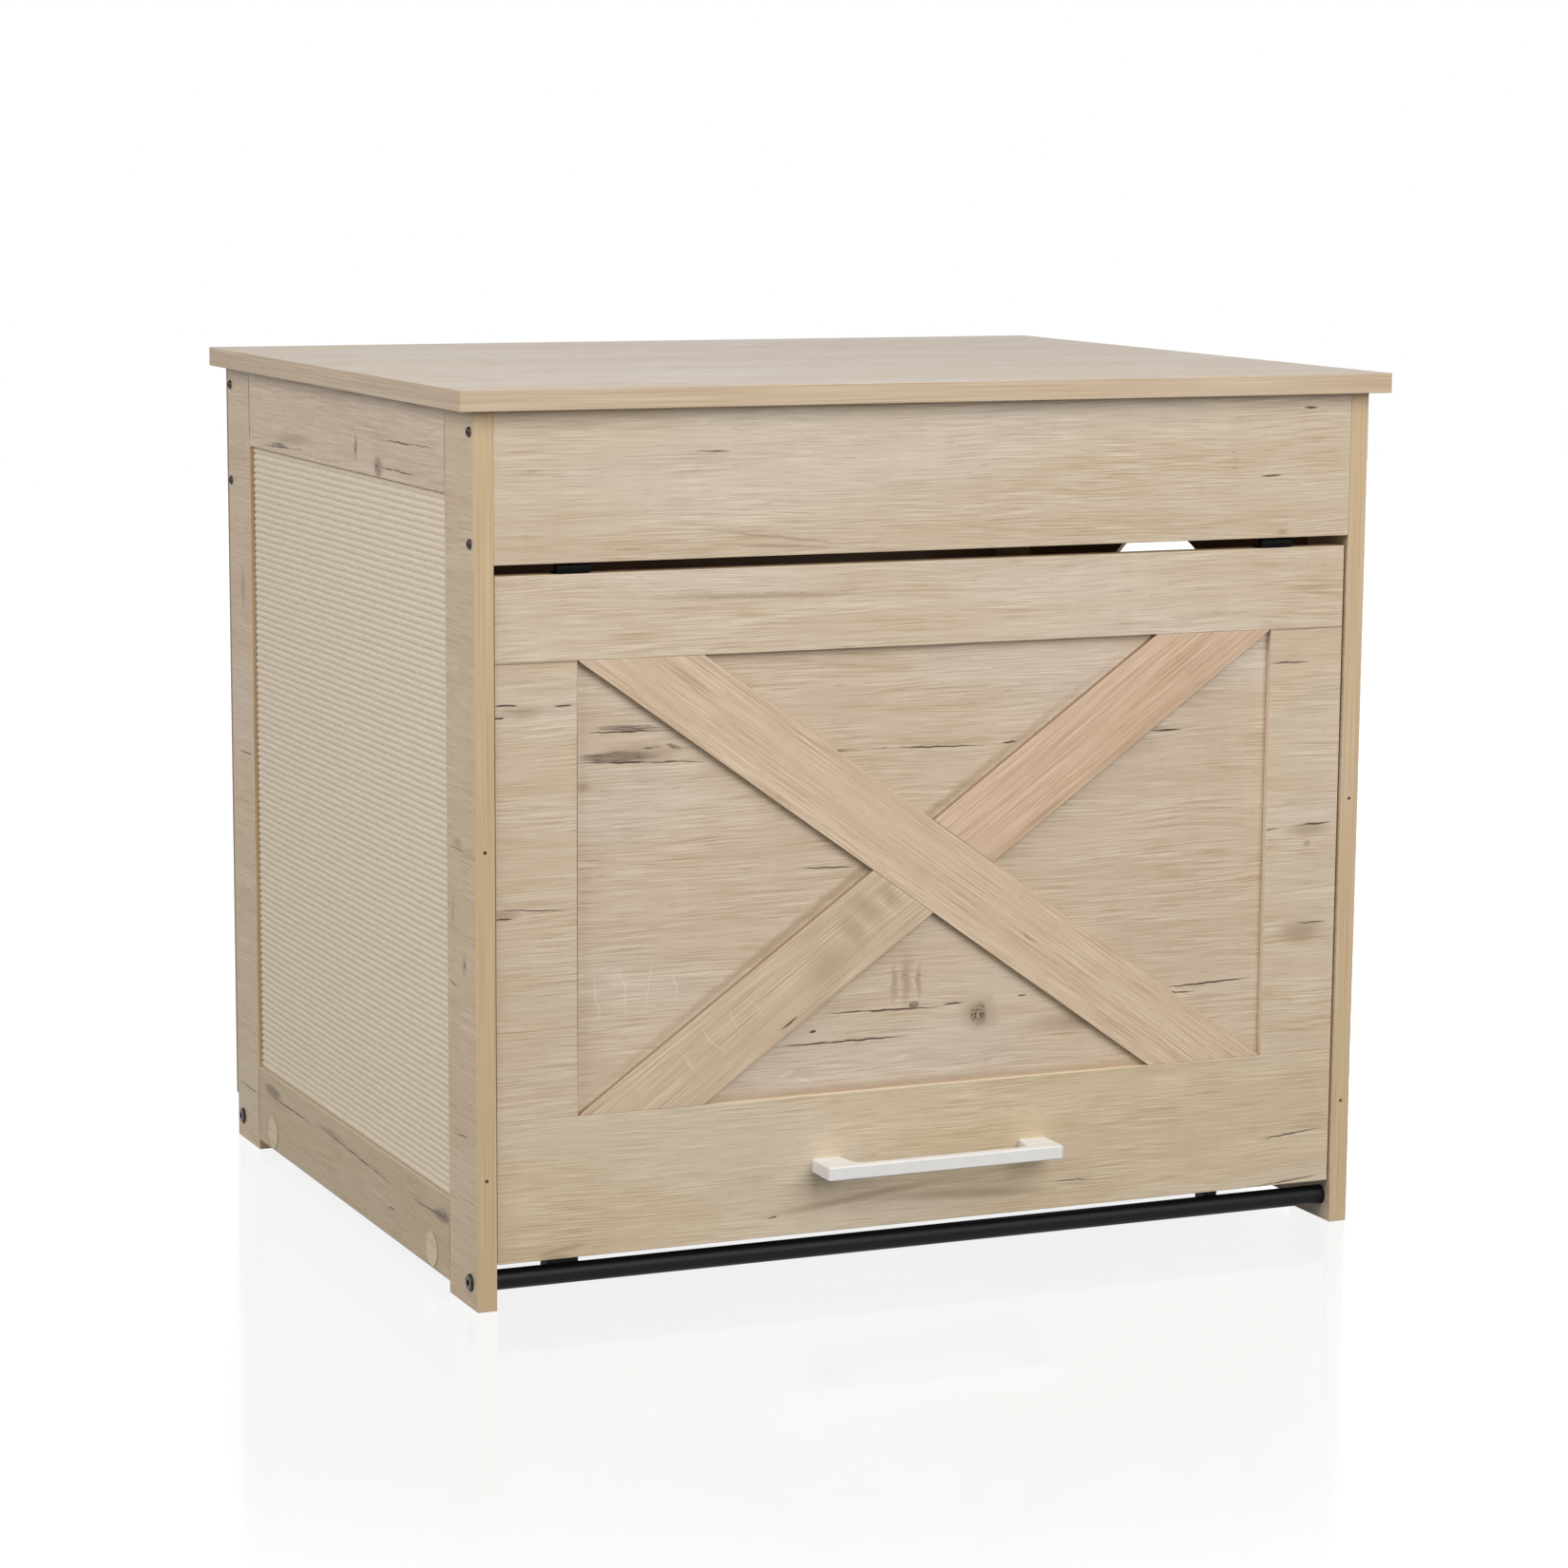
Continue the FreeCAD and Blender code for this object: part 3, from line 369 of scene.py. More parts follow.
# Each board's marks: place along the face and height in mm, half length, half height, tilt in degrees
boards = {
    "top_panel": dict(
        face="top", along=alongX, across=alongY, seed=1, tint=(0.955, 0.995, 1.11),
        edgePale="#D9C2A0", edgeDark="#B99A74"),
    "front_fascia": dict(
        frontBoard, seed=2, tint=(1.0, 1.01, 1.03),
        cracks=[(-186, 657, 15, 0.6, -1), (335, 680, 6.6, 0.9, 0), (300, 626, 10, 0.7, 0),
                (264, 646, 3, 0.7, 0)],
        smudgesAndShade=[(-132, 590, 62, 1.6, -7), (-128, 583, 58, 1.4, -3), (310, 580.5, 6, 3, 0)]),
    "rear_rail": dict(frontBoard, seed=3),
    "back_panel": dict(
        frontBoard, seed=4, edgePale="#8A7357", edgeDark="#6B573F", raw=bareBoardAndGapShade,
        cracks=[(-210, 420, 60, 1.0, 1), (120, 210, 48, 1.0, -1), (190, 520, 30, 0.9, 0)],
        knots=[(-40, 310, 9, 8, 0)],
        smudgesAndShade=[(-190, 416, 30, 6, 0), (-40, 310, 34, 18, 0)]),
    "left_front_stile": dict(
        sideBoard, seed=5, tint=(1.06, 1.02, 0.95), edgePale="#CBB797", edgeDark="#B59B79",
        seamsAndShadeLines=buttSeams("left_front_stile", leftRails),
        cracks=[(-283, 268, 2.2, 2.2, 0), (-269, 356, 18, 0.7, 1), (-271, 133, 20, 0.8, -6),
                (-257, 250, 8, 0.7, 3)],
        smudgesAndShade=[(-257, 306, 4, 13, 0), (-268, 361, 12, 5, 0), (-283, 268, 7, 9, 0)]),
    "left_rear_stile": dict(
        sideBoard, seed=6, tint=(1.06, 1.02, 0.95), seamsAndShadeLines=buttSeams("left_rear_stile", leftRails),
        cracks=[(299, 354, 22, 0.8, -2), (304, 51.5, 28, 0.8, 0)],
        smudgesAndShade=[(300, 500, 8, 22, 0)]),
    "left_top_rail": dict(
        sideBoard, seed=7, tint=(1.14, 1.13, 1.17),
        cracks=[(171, 631, 66, 0.8, -2), (-159, 656.5, 66, 0.8, -1), (-130, 633.5, 46, 0.7, 0)],
        knots=[(-83, 633, 9, 9, 0)],
        gashes=[(-26, 646, 4, 10, 0), (190, 632, 24, 2.2, -2)],
        smudgesAndShade=[(-25, 644, 6, 12, 0), (-83, 633, 16, 9, 0), (150, 640, 60, 6, -2)]),
    "left_bottom_rail": dict(
        sideBoard, seed=8, tint=(0.9, 0.85, 0.74), edgePale="#E4DACC", edgeDark="#D2C6B6",
        cracks=[(180, 58, 60, 0.9, 0), (-8, 58, 96, 0.9, 2), (-200, 57, 46, 0.9, -2),
                (-101, 35, 9, 0.8, 0)],
        gashes=[(232, 63, 26, 5, 0), (-224, 58, 22, 4.5, -2)],
        smudgesAndShade=[(227, 62, 26, 6, 0), (-230, 60, 18, 7, 0), (60, 62, 40, 4, 0)]),
    "right_front_stile": dict(
        sideBoard, seed=9, seamsAndShadeLines=buttSeams("right_front_stile", rightRails),
        cracks=[(-280, 410, 22, 0.8, 2), (-270, 200, 18, 0.8, -3)]),
    "right_rear_stile": dict(
        sideBoard, seed=10, seamsAndShadeLines=buttSeams("right_rear_stile", rightRails),
        cracks=[(300, 250, 24, 0.8, 2)]),
    "right_top_rail": dict(sideBoard, seed=11, cracks=[(80, 650, 60, 0.9, 1), (-150, 640, 30, 0.8, 0)]),
    "right_bottom_rail": dict(sideBoard, seed=12, cracks=[(120, 50, 70, 1.0, 1), (-160, 40, 34, 0.9, -1)]),
    "left_infill_panel": dict(sideBoard, seed=13, raw=bareBoardAndGapShade),
    "right_infill_panel": dict(
        sideBoard, along=(0, -1, 0), seed=14, raw=bareBoardAndGapShade,
        cracks=[(-150, 180, 60, 1.0, 1), (150, 230, 44, 1.0, -1), (200, 560, 30, 0.9, 0)],
        knots=[(-60, 160, 8, 7, 0)],
        smudgesAndShade=[(-150, 176, 30, 6, 0), (-60, 160, 26, 14, 0)]),
    "door_panel": dict(
        frontBoard, seed=15, tint=(1.0, 0.995, 1.01),
        cracks=[(-253, 444.3, 34, 0.8, -1), (-241, 420, 55, 0.9, -2), (-232, 430.8, 9, 0.8, 0),
                (-70, 420.4, 13, 0.8, 0), (0, 419.5, 52, 0.7, -1.5), (73, 420, 7, 0.8, 2),
                (213, 422.6, 17, 1.1, 0), (-83, 328.4, 24, 0.7, -2), (215, 277.8, 16, 0.7, 1),
                (-35, 210.8, 54, 0.8, -1), (-8, 213, 4, 3.2, 0), (-70, 188.3, 60, 0.9, 0),
                (-97, 198.4, 3, 1.2, 0), (26, 211.5, 10, 0.8, 3), (86, 214, 5, 0.7, 0),
                (256, 211.8, 44, 0.8, 2), (228, 206, 18, 0.6, -3)],
        gashes=[(-262, 425, 34, 4.6, -1), (-252, 447, 28, 3.0, -2), (-214, 431, 8, 2, -12)],
        knots=[(49.4, 202, 8, 10, 0)],
        smudgesAndShade=[(-289, 403, 8, 4, 0), (-15.7, 233.8, 6, 22, 0), (-26, 232, 4, 18, 0), (-4, 232, 3, 17, 0),
                 (-245, 426, 40, 9, -2), (49, 202, 18, 16, 0), (150, 190, 70, 9, 2), (-200, 180, 50, 10, 0),
                 # These two are painted shade: bands along the bottom rail's top edge and the lower brace's
                 # upper-left edge
                 (0, 149, 320, 6, 0), (-53, 326, 300, 5, 35.4)],
        rays=[(-278, 238, 0.9, 22, 10), (-256, 244, 0.9, 24, 8), (-234, 246, 0.9, 22, -6),
              (-214, 246, 0.8, 18, 6), (-268, 262, 14, 0.8, 8), (-118, 166, 8, 2, 20),
              (-104, 160, 7, 1.6, -24), (-20, 172, 6, 2, 16)]),
    "door_top_rail": dict(
        frontBoard, seed=16, tint=(1.03, 1.04, 1.065),
        smudgesAndShade=[(-140, 545, 110, 3, -1)]),
    "door_bottom_rail": dict(
        # Its edge strip is real, but its paler colour is painted highlight along the rail's upper edge
        frontBoard, seed=17, tint=(1.0, 1.0, 0.95), edgePale="#E8D6BF", edgeDark="#DAC5AA",
        cracks=[(333, 79.2, 31, 0.7, 5), (331, 39.2, 34, 0.6, 4), (133, 58.5, 18, 0.5, -2),
                (-132, 52.6, 4, 0.8, 8)],
        smudgesAndShade=[(-314, 37, 16, 6, 0), (-310, 44, 24, 3, 8), (-60, 62, 90, 4, 6), (40, 56, 80, 5, -3)]),
    "door_left_stile": dict(
        frontBoard, seed=18,
        # The second line is painted shade along the stile's inner edge, not a joint
        seamsAndShadeLines=[(-333, doorSeamHeight, 60, 0.8, 0), (doorStileHigh[0] - 0.3, 323, 0.8, 182, 0)],
        cracks=[(-354.5, 469.6, 10.5, 0.8, -2), (-307.5, 467.4, 6.5, 0.8, 0), (-359.5, 460.5, 5.3, 0.9, 0),
                (-333, 311.7, 32, 0.5, -3), (-356, 306, 9, 0.8, 0)],
        smudgesAndShade=[(-340, 464, 20, 6, 0), (-355, 309, 14, 5, 0)]),
    "door_right_stile": dict(
        frontBoard, seed=19, edgePale="#E8D6BF", edgeDark="#DAC5AA",
        seamsAndShadeLines=[(333, doorSeamHeight, 60, 0.8, 0)],
        cracks=[(323, 473.4, 19, 0.7, 0), (345.5, 338.9, 20, 0.9, 2), (310, 336.6, 6.7, 0.7, 3),
                (349, 257, 15, 0.6, 0)],
        smudgesAndShade=[(343, 322.8, 4, 3.4, 0), (345, 335, 22, 6, 0), (340, 250, 24, 12, 0)]),
    "door_brace_long": dict(fallingBoard, seed=20, cracks=[(91, 257.5, 7, 0.6, 2)]),
    "door_brace_upper": dict(risingBoard, seed=21, tint=(0.98, 0.925, 0.91)),
    "door_brace_lower": dict(
        risingBoard, seed=22, tint=(0.96, 0.99, 0.98), smudge="#A48C6E",
        rays=[(-206, 186, 1.0, 15, 8), (-186, 202, 1.0, 18, 10), (-166, 214, 0.9, 14, -8),
              (-148, 226, 0.9, 12, 12)],
        cracks=[(-120, 210.5, 9, 0.9, 0)],
        smudgesAndShade=[(-54, 297, 11, 22, 20), (-66, 280, 12, 20, 0), (-88, 254, 30, 16, 0),
                 (-34, 306, 8, 16, 10)]),
}
# The cross is a pinker oak with a straighter, bolder grain; its edge strips are greyer and darker than the
# other boards', as painted shade on the edge faces
braceLook = {
    "pale": "#E3CEB2",
    "dark": "#B99B7E",
    "grey": "#CBB098",
    "edgePale": "#AC967C",
    "edgeDark": "#917C64",
    "stroke": (60.0, 1.1, 30.0),
    "waveHeight": 4.0,
    "strokeGain": 2.2,
    "bandGain": 0.8,
    "patchGain": 0.35,
    "fleckGain": 0.2,
}
# The sides' strokes are fainter and straighter
sideLook = {"strokeGain": 1.15, "waveHeight": 7.0}

for boardName, settings in boards.items():
    if boardName.startswith("door_brace"):
        settings = dict(braceLook, **settings)
    if settings["face"] == "side":
        settings = dict(sideLook, **settings)
    dress(oakBoard("oakLaminate_" + boardName, **settings), boardName)

# Oak foil: thin printed stickers over the cam locks, paler than the board and dull at their cut rim
stickerLook = dict(sideBoard, seed=23, pale="#F0DEBE", dark="#C7AD86",
                   edgePale="#A08B69", edgeDark="#8C7858")
dress(oakBoard("oakFoil_cover_stickers", **stickerLook), "cover_stickers")
print("oak boards dressed:", len(boards))


# Ribbed sisal mat: yarn tufted in straight rows, held by a backing. The eye sees dull cream cords side
# by side, a little uneven, with cross wraps of fibre and shade in the furrows; that shade comes partly from
# the cords' relief and partly is painted into the yarn's colour.

matMake = {
    "pitch": 5.65,                     # mm from cord to cord
    "ribHeight": 1.0,                  # mm from furrow to crest
    "rowsPerRib": 8,
    "columns": 104,
    "endColumns": (0.0, 0.2, 0.5, 0.9, 1.6, 3.2),    # mm from a cord's end
    "endRound": 1.6,                   # mm over which a cord's end rounds down
    "endStand": 0.45,                  # share of its height that is left there
    "roundness": 2.3,                  # power of a cord's outline, where 2 is a parabola
    "sway": 0.42,                      # mm a furrow wanders
    "swayLengths": (21, 55, 170),      # mm of the sines that it is made of
    "swayShares": (0.25, 0.35, 0.4),
    "swell": (0.1, 37),                # share of its height by which a cord swells, and in how many mm
    "ripple": (0.05, 9),
    "seed": 11,
    "pale": "#FAEAD3",
    "base": "#EFDFC6",
    # Painted shade: the colour the yarn takes deep in a furrow
    "furrow": "#9C8A70",
    # Painted shade colour for the furrows' ends at the rear edge
    "furrowEndShade": "#5E4326",
    "cordLength": 91.5,                # in cord widths, from front to rear
    "fibre": (0.5, 4.0),               # in cord widths, along and across
    "wrap": (0.42, 1.3),
    "clump": (3.0, 1.2),
    "fibreGain": 0.5,                  # how far each layer moves the yarn from base to pale
    "wrapGain": 2.2,
    "clumpGain": 0.9,
    "toneStart": -1.1,
    "shadeRamp": (0.4, 0.0, 0.0, 0.2),    # by the height on a cord, which is 0 in the furrow
    "furrowEndShadeRamp": (0.55, 0.25),
    "furrowEndShadeReach": (0.75, 0.3),        # cord widths before the rear end
    "bumpStrength": 0.7,
    "bumpDepth": 0.0012,
    "rough": 0.92,
    "gloss": 0.2,
    "sheen": 0.12,
    "sheenRough": 0.6,
}


def gridFaces(rows, columns):
    # Quads of a grid whose points run row by row
    first = (np.arange(rows - 1)[:, None] * columns + np.arange(columns - 1)[None, :]).ravel()
    return np.stack([first, first + columns, first + columns + 1, first + 1], axis=1)


def makeMat(make):
    # One grid of rows, up the mat, and columns, along the cords. A point stands out from the furrow by 1
    # less its distance from the cord's middle to the power of roundness, times the cord's swell there.
    low, high = (np.array(corner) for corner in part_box("left_scratch_mat"))
    rng = np.random.default_rng(make["seed"])
    height = high[2] - low[2]
    width = high[1] - low[1]
    ribs = int(round(height * 1000 / make["pitch"]))
    per = make["rowsPerRib"]
    # Columns: close at both ends, where the cords round down, and even between
    near = np.array(make["endColumns"]) / 1000
    inner = np.linspace(near[-1], width - near[-1], make["columns"])
    along = np.concatenate([near[:-1], inner, (width - near[:-1])[::-1]])
    # Furrows wander up and down by a sum of slow sines with their own phases
    phase = rng.uniform(0, 2 * np.pi, (ribs + 1, 3))
    longs = np.array(make["swayLengths"]) / 1000
    swing = np.array(make["swayShares"]) * make["sway"] / 1000
    wander = (np.sin(2 * np.pi * along[None, :, None] / longs + phase[:, None, :]) * swing).sum(axis=2)
    wander[0] = 0
    wander[-1] = 0
    furrow = np.arange(ribs + 1)[:, None] * height / ribs + wander
    # A row lies between two furrows by its share of the cord, and stands up as a round cord does
    rowIndex = np.arange(ribs * per + 1)
    rib = np.minimum(rowIndex // per, ribs - 1)
    share = (rowIndex - rib * per) / per
    up = furrow[rib] * (1 - share[:, None]) + furrow[rib + 1] * share[:, None]
    bulge = 1 - np.abs(2 * share - 1) ** make["roundness"]
    swell, swellLong = make["swell"]
    ripple, rippleLong = make["ripple"]
    full = 1 + swell * np.sin(2 * np.pi * along[None, :] / (swellLong / 1000) + phase[rib, 0][:, None])
    full -= swell
    full += ripple * np.sin(2 * np.pi * along[None, :] / (rippleLong / 1000) + phase[rib, 1][:, None])
    fromEnd = np.clip(np.minimum(along, width - along) * 1000 / make["endRound"], 0, 1)
    ends = make["endStand"] + (1 - make["endStand"]) * np.sqrt(1 - (1 - fromEnd) ** 2)
    stand = np.clip(bulge[:, None] * full, 0, 1) * ends[None, :]
    rows, columns = up.shape
    front = np.empty((rows, columns, 3))
    front[..., 0] = low[0] + make["ribHeight"] / 1000 * (1 - stand)
    front[..., 1] = low[1] + along[None, :]
    front[..., 2] = low[2] + up
    # The rim's points again on the backing, and one point in its middle, close the piece
    ring = np.concatenate([
        np.arange(columns),
        np.arange(1, rows) * columns + columns - 1,
        (rows - 1) * columns + np.arange(columns - 2, -1, -1),
        np.arange(rows - 2, 0, -1) * columns,
    ])
    points = front.reshape(-1, 3)
    back = points[ring].copy()
    back[:, 0] = high[0]
    middle = np.array([[high[0], (low[1] + high[1]) / 2, (low[2] + high[2]) / 2]])
    count = len(points)
    number = np.arange(len(ring))
    after = np.roll(number, -1)
    skirt = np.stack([ring, ring[after], count + after, count + number], axis=1)
    fan = np.stack([count + number, count + after, np.full(len(ring), count + len(ring))], axis=1)
    mesh = bpy.data.meshes.new("scratch_mat")
    faces = gridFaces(rows, columns).tolist() + skirt.tolist() + fan.tolist()
    mesh.from_pydata(np.concatenate([points, back, middle]).tolist(), [], faces)
    # Cord coordinates: along in cord widths, and the cord's number with its share across
    cordAt = np.zeros((len(mesh.vertices), 2))
    cordAt[:count, 0] = np.tile(along * 1000 / make["pitch"], rows)
    cordAt[:count, 1] = np.repeat(rib + share, columns)
    uv = mesh.uv_layers.new(name="cord")
    corner = np.empty(len(mesh.loops), dtype=np.int32)
    mesh.loops.foreach_get("vertex_index", corner)
    uv.data.foreach_set("uv", cordAt[corner].ravel())
    mesh.polygons.foreach_set("use_smooth", np.ones(len(mesh.polygons), dtype=bool))
    mesh.update()
    piece = bpy.data.objects.new("scratch_mat", mesh)
    bpy.context.scene.collection.objects.link(piece)
    print("scratch mat:", ribs, "cords,", len(faces), "faces")
    return piece


def sisal(make):
    material, tree = startMaterial("wovenSisal")
    coord = put(tree, "UVMap", uv_map="cord")
    split = put(tree, "SeparateXYZ", [coord])
    across = put(tree, "Math", [split.outputs[1]], operation="FRACT")
    # From the furrow, 0, to the crest, 1
    crest = put(tree, "Math", [across, 0.5], operation="SUBTRACT")
    crest = put(tree, "Math", [crest], operation="ABSOLUTE")
    crest = put(tree, "MapRange", [crest, 0.5, 0.0], interpolation_type="SMOOTHSTEP")
    layers = {}
    for key, detail in (("fibre", 3), ("wrap", 2), ("clump", 2)):
        perCord = tuple(1 / size for size in make[key]) + (1,)
        spread = put(tree, "VectorMath", [coord, perCord], operation="MULTIPLY")
        layers[key] = put(tree, "TexNoise", {"Vector": spread, "Scale": 1, "Detail": detail,
                                             "Roughness": 0.6})
    tone = make["toneStart"]
    for key in ("wrap", "clump", "fibre"):
        tone = put(tree, "Math", [layers[key], make[key + "Gain"], tone], operation="MULTIPLY_ADD")
    yarn = put(tree, "Mix", {0: tone, 6: linear(make["base"]), 7: linear(make["pale"])}, data_type="RGBA")
    # Painted shade: the yarn takes the furrow colour toward the furrow, over the cords' own relief
    shade = put(tree, "MapRange", [crest, *make["shadeRamp"]], interpolation_type="SMOOTHSTEP")
    shade = put(tree, "Math", [shade, layers["clump"]], operation="MULTIPLY")
    yarn = put(tree, "Mix", {0: shade, 6: yarn.outputs[2], 7: linear(make["furrow"])}, data_type="RGBA")
    # Painted shade: dark spots where the furrows run out at the rear edge
    lastPart = [make["cordLength"] - size for size in make["furrowEndShadeReach"]]
    out = put(tree, "MapRange", [split.outputs[0], *lastPart])
    deep = put(tree, "MapRange", [crest, *make["furrowEndShadeRamp"]])
    spots = put(tree, "Math", [out, deep], operation="MULTIPLY")
    yarn = put(tree, "Mix", {0: spots, 6: yarn.outputs[2], 7: linear(make["furrowEndShade"])}, data_type="RGBA")
    fuzz = put(tree, "Math", [layers["wrap"], layers["fibre"]], operation="ADD")
    relief = put(tree, "Bump", {"Height": fuzz, "Strength": make["bumpStrength"],
                                "Distance": make["bumpDepth"]})
    shader = put(tree, "BsdfPrincipled", {"Base Color": yarn.outputs[2], "Roughness": make["rough"],
                                          "Normal": relief, "Specular IOR Level": make["gloss"],
                                          "Sheen Weight": make["sheen"],
                                          "Sheen Roughness": make["sheenRough"]})
    endMaterial(tree, shader)
    return material


scratchMat = makeMat(matMake)
scratchMat.data.materials.append(sisal(matMake))
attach(scratchMat, "house")
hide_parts("left_scratch_mat")
print("scratch mat placed")


# Metal, plastic and dowel fittings: each finish has two colours, how metallic and rough it is, and the
# size in mm and depth in metres of its fine unevenness, which also stirs the colour and the gloss a little

fittings = {
    # Powder coat on tube: satin black with the faint orange peel of melted powder
    "powderCoatBlack": dict(base="#101012", other="#161618", metal=0.0, rough=(0.36, 0.46), gloss=0.14,
                            size=(1.4, 1.4, 1.4), depth=0.00005, on=("front_tube", "rear_tube")),
    # Black nickel on bolt and screw heads: dark brown grey that still glints
    "blackNickel": dict(base="#4A4441", other="#37322F", metal=1.0, rough=(0.24, 0.36), gloss=0.5,
                        size=(0.9, 0.9, 0.9), depth=0.00003, on=("tube_bolts", "rail_screws")),
    # Bright nickel on the hidden screws: warm grey, slightly scuffed
    "nickelPlate": dict(base="#A9A39A", other="#8C857B", metal=1.0, rough=(0.22, 0.38), gloss=0.5,
                        size=(0.8, 0.8, 3.0), depth=0.00002,
                        on=("back_screws", "bracket_screws", "catch_screw", "stop_screw", "handle_screws",
                            "strike_screws", "fascia_hinge_screws", "door_hinge_screws", "cam_bolts")),
    # Die-cast zinc: dull grey with a cast skin
    "castZinc": dict(base="#9C9C98", other="#84847F", metal=1.0, rough=(0.38, 0.55), gloss=0.5,
                     size=(1.2, 1.2, 1.2), depth=0.00005, on=("cam_locks",)),
    # Zinc-plated sheet: blue grey with soft crystal patches
    "zincPlate": dict(base="#B4B8BA", other="#9AA0A4", metal=1.0, rough=(0.25, 0.42), gloss=0.5,
                      size=(6.0, 6.0, 6.0), depth=0.00002,
                      on=("top_brackets", "strike_plate", "tube_inserts")),
    # Black enamel on hinge leaves: thin, hard, dull in the gap
    "blackEnamel": dict(base="#0C0C0D", other="#121213", metal=0.0, rough=(0.5, 0.62), gloss=0.05,
                        size=(1.8, 1.8, 1.8), depth=0.00003,
                        on=("fascia_hinge_leaves", "door_hinge_leaves", "hinge_pins")),
    # White lacquer on a cast handle: smooth, matt, very slightly warm
    "whiteLacquer": dict(base="#EAE9E6", other="#E6E4E0", metal=0.0, rough=(0.4, 0.48), gloss=0.4,
                         size=(12.0, 12.0, 12.0), depth=0.00001, on=("door_handle",)),
    # Polypropylene moulding: dark grey green, with a fine spark-eroded grain
    "mouldedPolypropylene": dict(base="#2C2E28", other="#34362F", metal=0.0, rough=(0.5, 0.66), gloss=0.25,
                                 size=(0.5, 0.5, 0.5), depth=0.00006, on=("catch_body", "stop_body")),
    # Ferrite magnet: charcoal grey ceramic, ground flat
    "groundFerrite": dict(base="#3B3B3D", other="#4A4A4C", metal=0.0, rough=(0.4, 0.6), gloss=0.4,
                          size=(0.6, 4.0, 0.6), depth=0.00004, on=("catch_magnet",)),
    # Rubber pad: soft black with a dusty bloom
    "softRubber": dict(base="#222121", other="#2F2D2C", metal=0.0, rough=(0.75, 0.9), gloss=0.3,
                       size=(1.0, 1.0, 1.0), depth=0.00008, on=("stop_pad",)),
    # Turned beech: pink tan with short dark flecks along the dowel
    "turnedBeech": dict(base="#D2AE84", other="#B98F64", metal=0.0, rough=(0.55, 0.7), gloss=0.4,
                        size=(0.5, 5.0, 0.5), depth=0.00008, on=("rail_dowels",)),
}
gritSpan = (0.35, 0.65)     # the noise's values at which a finish is all base and all other
gritStrength = 0.5


def fitting(name, look):
    material, tree = startMaterial(name)
    coord = put(tree, "TexCoord")
    spread = put(tree, "VectorMath", [coord.outputs["Object"], perMetre(*look["size"])],
                 operation="MULTIPLY")
    grit = put(tree, "TexNoise", {"Vector": spread, "Scale": 1, "Detail": 3})
    blotch = put(tree, "MapRange", [grit, *gritSpan])
    tone = put(tree, "Mix", {0: blotch, 6: linear(look["base"]), 7: linear(look["other"])},
               data_type="RGBA")
    matt = put(tree, "MapRange", [grit, *gritSpan, *look["rough"]])
    relief = put(tree, "Bump", {"Height": grit, "Strength": gritStrength, "Distance": look["depth"]})
    shader = put(tree, "BsdfPrincipled", {"Base Color": tone.outputs[2], "Metallic": look["metal"],
                                          "Roughness": matt, "Normal": relief,
                                          "Specular IOR Level": look["gloss"]})
    endMaterial(tree, shader)
    return material


for name, look in fittings.items():
    dress(fitting(name, look), *look["on"])
print("fittings dressed:", len(fittings))


# Studio: white sweep, one large soft key from the front right, a weaker fill from the left and a low one
# from the rear right

studio = {
    "worldWhite": 1.0,
    "worldLight": 0.3,
    "floorSize": 14.0,
    "floorColour": "#3E3E3D",
    "floorRough": 0.3,
    "floorGlow": 0.86,          # how much of the floor near the object is white or gloss to the camera
    "glowReach": (0.8, 1.9),    # metres over which it becomes all white
    "whiteLevel": 1.15,         # makes up for what the paint and the gloss lack
    "floorGloss": 0.12,         # how much of that is a soft mirror close to the object
    "glossReach": (0.8, 1.4),   # metres over which the mirror fades out
    "glossRough": 0.09,
    "lamps": [
        dict(name="key", place=(0.9, -3.6, 2.6), aim=(0, 0, 0.45), size=(3.4, 3.4), watts=136),
        dict(name="fill", place=(-3.2, -1.2, 2.4), aim=(0, 0, 0.4), size=(2.2, 2.2), watts=68),
        # Low, so that it reaches the far sides and leaves the top alone
        dict(name="rear", place=(2.3, 2.4, 0.37), aim=(0, 0, 0.36), size=(2.6, 0.64), watts=52),
    ],
}
white = (1, 1, 1, 1)


def seenRays(tree):
    # 1 for the rays that see the background: the camera's, mirrored ones and those through glass
    path = put(tree, "LightPath")
    seen = put(tree, "Math", [path.outputs["Is Camera Ray"], path.outputs["Is Glossy Ray"]],
               operation="MAXIMUM")
    return put(tree, "Math", [seen, path.outputs["Is Transmission Ray"]], operation="MAXIMUM")


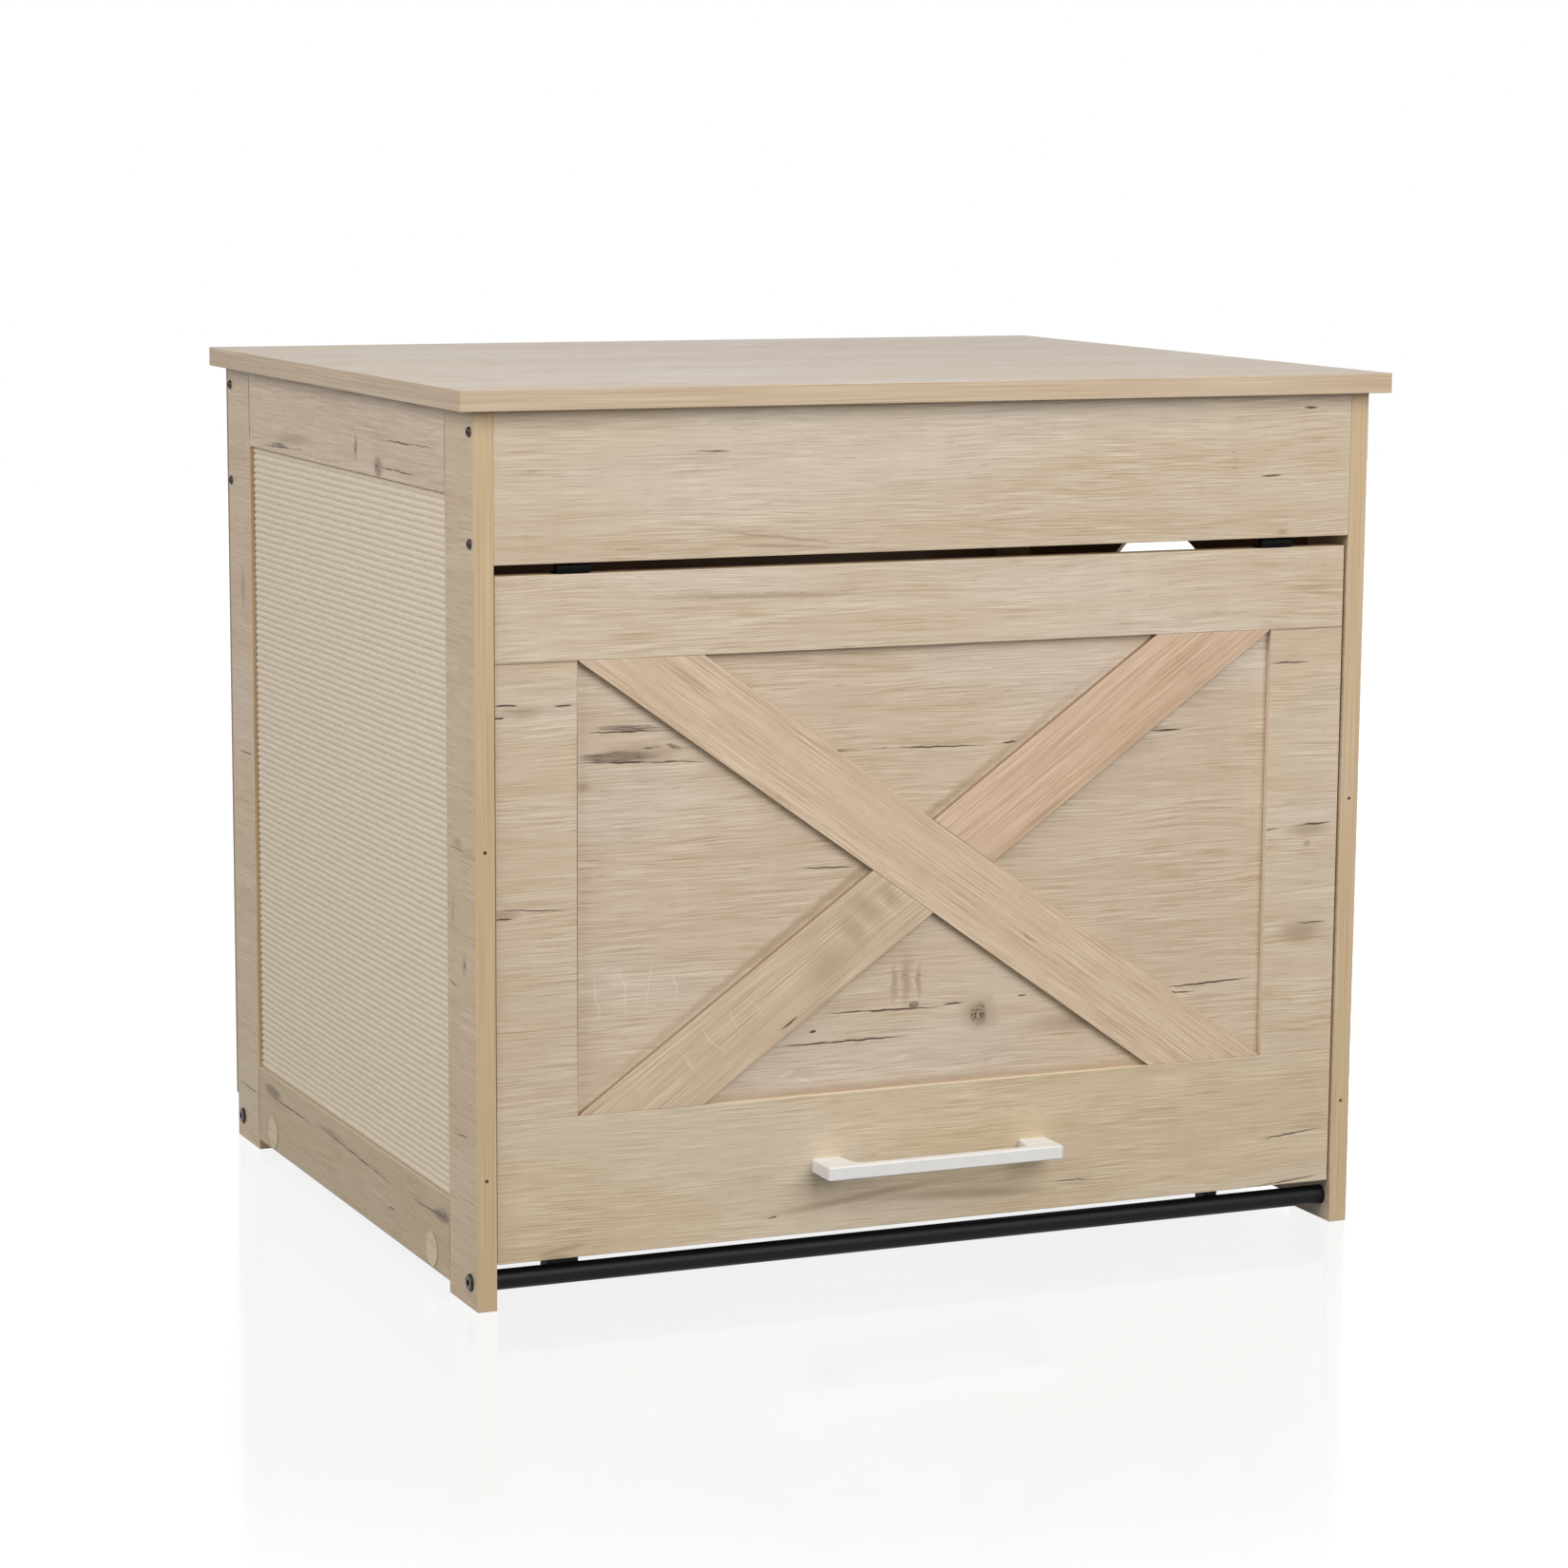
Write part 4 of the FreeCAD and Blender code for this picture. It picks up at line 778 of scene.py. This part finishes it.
def setWorld(settings):
    world = bpy.data.worlds.new("studio")
    world.use_nodes = True
    bpy.context.scene.world = world
    tree = world.node_tree
    tree.nodes.clear()
    levels = (settings["worldLight"], settings["worldWhite"])
    level = put(tree, "MapRange", [seenRays(tree), 0.0, 1.0, *levels])
    glow = put(tree, "Background", {"Color": white, "Strength": level})
    put(tree, "OutputWorld", {"Surface": glow})


def setFloor(settings):
    half = settings["floorSize"] / 2
    corners = [(-half, -half, 0), (half, -half, 0), (half, half, 0), (-half, half, 0)]
    mesh = bpy.data.meshes.new("floor")
    mesh.from_pydata(corners, [], [(0, 1, 2, 3)])
    floor = bpy.data.objects.new("floor", mesh)
    bpy.context.scene.collection.objects.link(floor)
    # Painted floor: grey paint takes the object's shadow, and what the camera sees of it is mostly
    # white, with a soft mirror image close to the object
    material, tree = startMaterial("paintedFloor")
    coord = put(tree, "TexCoord")
    away = put(tree, "VectorMath", [coord.outputs["Object"]], operation="LENGTH").outputs["Value"]
    glowing = put(tree, "MapRange", [away, *settings["glowReach"], settings["floorGlow"], 1.0],
                  interpolation_type="SMOOTHSTEP")
    polished = put(tree, "MapRange", [away, *settings["glossReach"], settings["floorGloss"], 0.0],
                   interpolation_type="SMOOTHSTEP")
    share = put(tree, "Math", [glowing, seenRays(tree)], operation="MULTIPLY")
    paint = put(tree, "BsdfPrincipled", {"Base Color": linear(settings["floorColour"]),
                                         "Roughness": settings["floorRough"]})
    shine = put(tree, "Emission", {"Color": white, "Strength": settings["whiteLevel"]})
    mirror = put(tree, "BsdfAnisotropic", {"Color": white, "Roughness": settings["glossRough"]})
    bright = put(tree, "MixShader", [polished, shine, mirror])
    endMaterial(tree, put(tree, "MixShader", [share, paint, bright]))
    mesh.materials.append(material)


def setLamps(settings):
    for lamp in settings["lamps"]:
        data = bpy.data.lights.new(lamp["name"], "AREA")
        data.shape = "RECTANGLE"
        data.size, data.size_y = lamp["size"]
        data.energy = lamp["watts"]
        light = bpy.data.objects.new(lamp["name"], data)
        bpy.context.scene.collection.objects.link(light)
        light.location = lamp["place"]
        towards = Vector(lamp["aim"]) - Vector(lamp["place"])
        light.rotation_euler = towards.to_track_quat("-Z", "Y").to_euler()


setWorld(studio)
setFloor(studio)
setLamps(studio)
bpy.context.scene.view_settings.view_transform = "Standard"
print("studio set")
